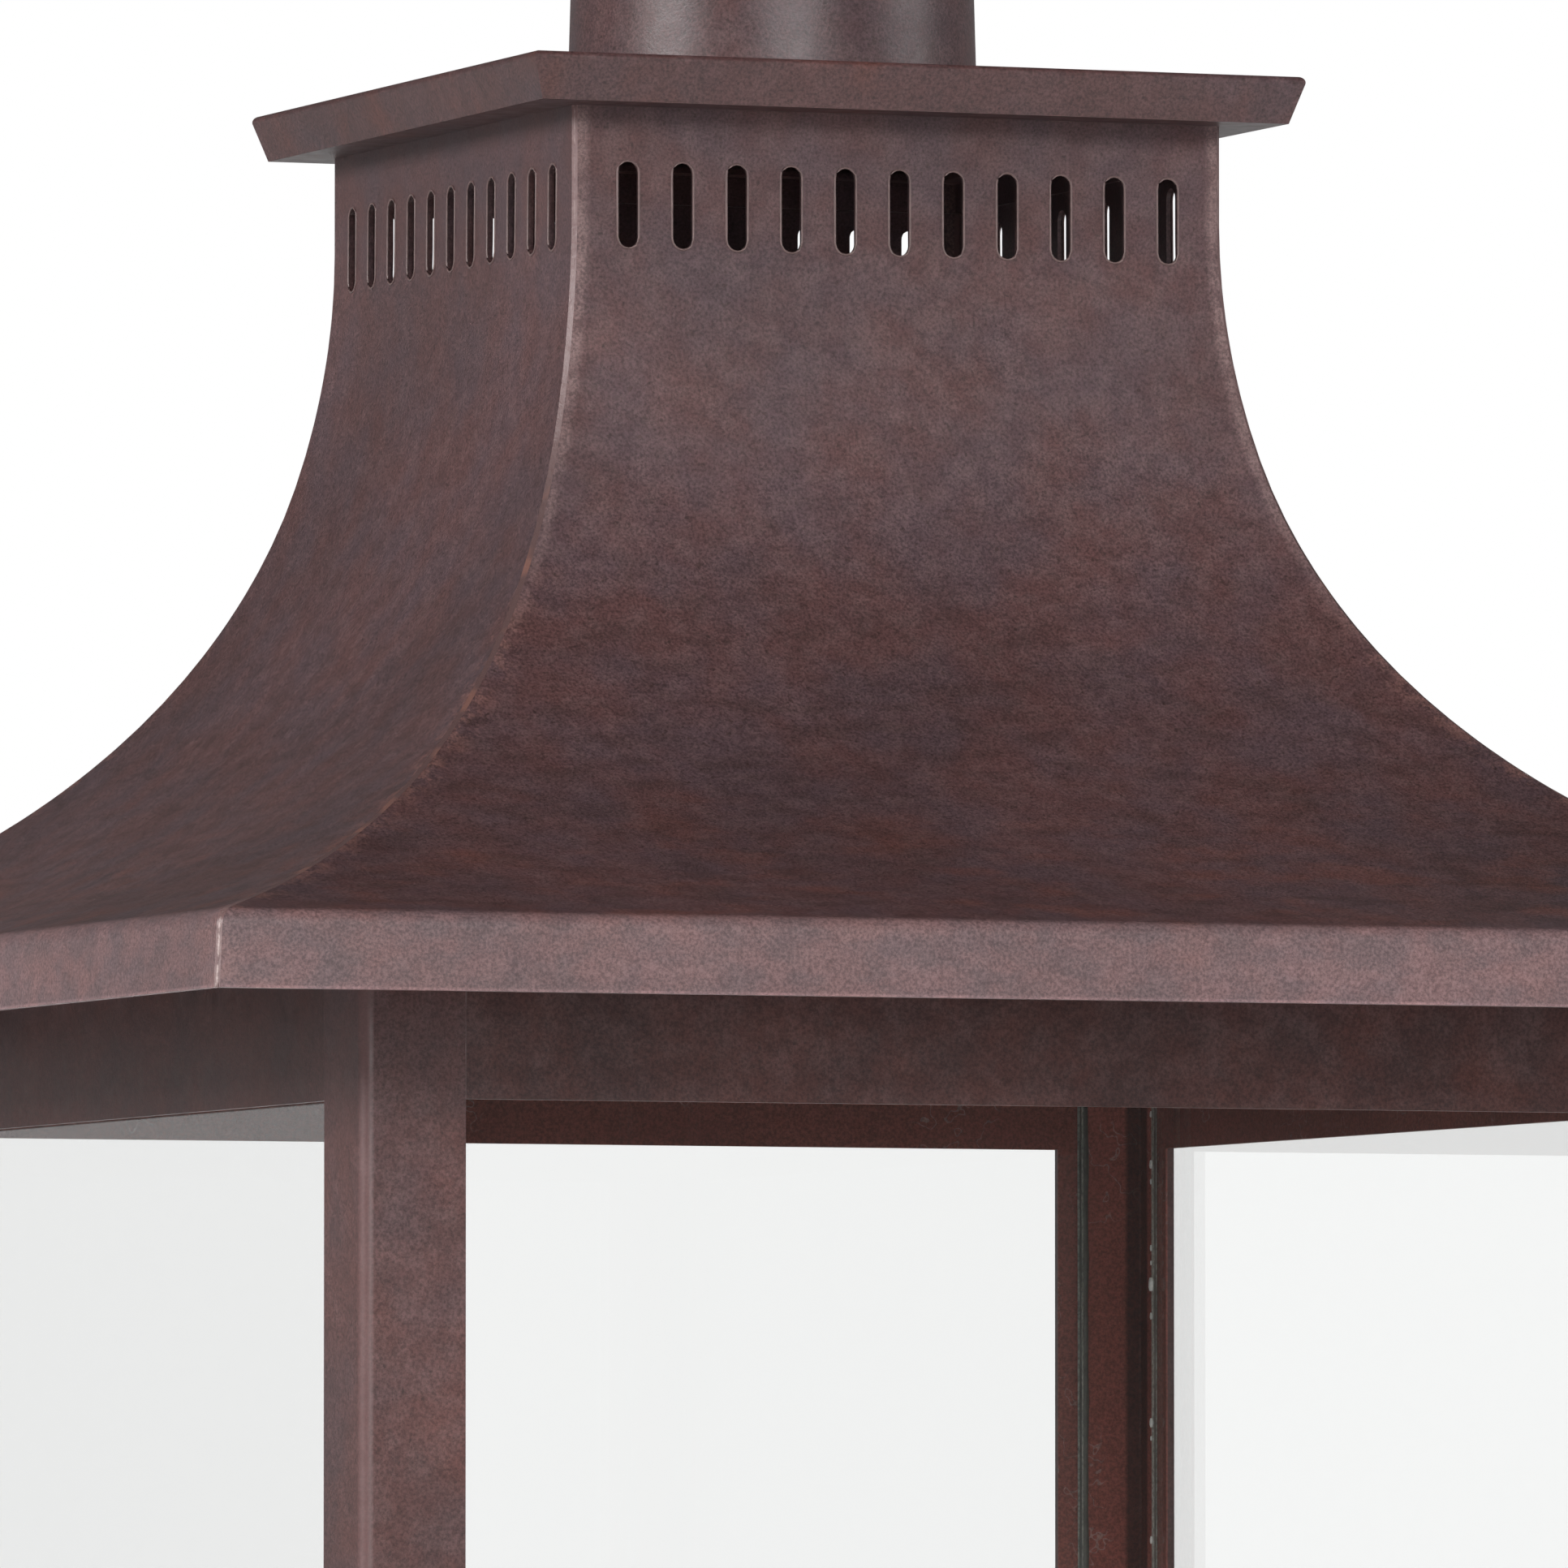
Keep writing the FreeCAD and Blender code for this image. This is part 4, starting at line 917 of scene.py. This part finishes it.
def seen_straight(tree, path, behind=0.0):
    """Whether a ray comes from the camera, directly or through glass.

    It may have been reflected once if it points to the back, and never by a dull surface.
    """
    direct = largest(tree, path.outputs["Is Camera Ray"], path.outputs["Is Transmission Ray"])
    undiffused = math_of(tree, "LESS_THAN", path.outputs["Diffuse Depth"], 0.5)
    unreflected = math_of(tree, "LESS_THAN", path.outputs["Glossy Depth"], 0.5)
    reflected_once = math_of(tree, "LESS_THAN", path.outputs["Glossy Depth"], 1.5)
    clean = largest(tree, unreflected, product(tree, reflected_once, behind))
    return product(tree, direct, undiffused, clean)


def light_world():
    """A white surround for what is seen, with a dim ceiling in gloss, and a dim even light."""
    world = bpy.data.worlds.new("studio")
    world.use_nodes = True
    tree = world.node_tree
    direction = add(tree, "ShaderNodeTexCoord").outputs["Generated"]
    axes = add(tree, "ShaderNodeSeparateXYZ", {0: direction})
    depth = axes.outputs["Y"]
    height = axes.outputs["Z"]
    wall = mapped(tree, height, SKY_EDGE, SKY_WALL, 1.0, SKY_WALL_TONE)
    ceiling = mapped(tree, height, SKY_WALL, SKY_TOP, 1.0, SKY_TOP_TONE)
    room = mapped(tree, depth, *ROOM_DEPTHS, ROOM_TONE, BACKDROP_TONE)
    sheen = product(tree, math_of(tree, "MINIMUM", wall, ceiling), room)
    ambient = add(tree, "ShaderNodeBackground", {"Color": WHITE, "Strength": WORLD_AMBIENT}).outputs[0]
    gloss = add(tree, "ShaderNodeBackground", {"Color": WHITE, "Strength": sheen}).outputs[0]
    white = tree.nodes["Background"]
    set_shader(tree, white, Color=WHITE, Strength=1.0)
    path = add(tree, "ShaderNodeLightPath")
    lit = add(tree, "ShaderNodeMixShader", {0: path.outputs["Is Glossy Ray"], 1: ambient, 2: gloss})
    seen = seen_straight(tree, path, mapped(tree, depth, *BEHIND_DEPTHS))
    surround = add(tree, "ShaderNodeMixShader", {0: seen, 1: lit.outputs[0], 2: white.outputs[0]})
    tree.links.new(surround.outputs[0], tree.nodes["World Output"].inputs["Surface"])
    bpy.context.scene.world = world


def lay_floor():
    """A pale round floor at the collar's mouth, which fades into the white surround."""
    mesh = bpy.data.meshes.new("floor")
    angles = [2 * math.pi * i / FLOOR_CORNERS for i in range(FLOOR_CORNERS)]
    rim = [(FLOOR_RADIUS * math.cos(a), FLOOR_RADIUS * math.sin(a), 0) for a in angles]
    mesh.from_pydata(rim, [], [list(range(FLOOR_CORNERS))])
    floor = bpy.data.objects.new("floor", mesh)
    bpy.context.scene.collection.objects.link(floor)
    material, tree, shader, place = new_material("floor")
    set_shader(tree, shader, Base_Color=PALE, Roughness=0.8)
    distance = add(tree, "ShaderNodeVectorMath", {0: place}, operation="LENGTH").outputs["Value"]
    seen = seen_straight(tree, add(tree, "ShaderNodeLightPath"))
    faded = product(tree, mapped(tree, distance, *FLOOR_FADE), seen)
    white = add(tree, "ShaderNodeEmission", {"Color": WHITE, "Strength": 1.0}).outputs[0]
    mix = add(tree, "ShaderNodeMixShader", {0: faded, 1: shader.outputs[0], 2: white})
    tree.links.new(mix.outputs[0], tree.nodes["Material Output"].inputs["Surface"])
    mesh.materials.append(material)


def place_camera():
    data = bpy.data.cameras.new("camera")
    data.sensor_width = CAMERA_SENSOR
    data.lens = CAMERA_LENS
    data.clip_end = CAMERA_CLIP_END
    camera = bpy.data.objects.new("camera", data)
    turn = math.radians(CAMERA_AZIMUTH)
    camera.location = (CAMERA_DISTANCE * math.sin(turn), -CAMERA_DISTANCE * math.cos(turn), CAMERA_HEIGHT)
    camera.rotation_euler = (math.radians(90 + CAMERA_PITCH), 0, math.radians(CAMERA_YAW))
    bpy.context.scene.collection.objects.link(camera)
    bpy.context.scene.camera = camera


bpy.context.scene.view_settings.view_transform = "Standard"
FINISHES = make_finishes()
dress_nodes(FINISHES)
hip_beads(solder_seam("solder", SOLDER))
# The slot rims are paler as a painted highlight.
slot_rims(plain("slot_rim", SLOT_RIM_HIGHLIGHT, 0.4, patch=1.5 * MM))
joint_beads(plain("joint_solder", JOINT_SOLDER, 0.4, patch=1.5 * MM))
sealant_beads(plain("sealant", SEALANT, 0.35, patch=1.2 * MM))
sealant_specks(plain("crumb", SPECK, 0.5, patch=MM))
bulbs(FINISHES["bulb_glass"], plain("tungsten", TUNGSTEN, 0.35, metallic=1.0, patch=MM))
for lamp_name, settings in LAMPS.items():
    area_light(lamp_name, *settings)
light_world()
lay_floor()
place_camera()
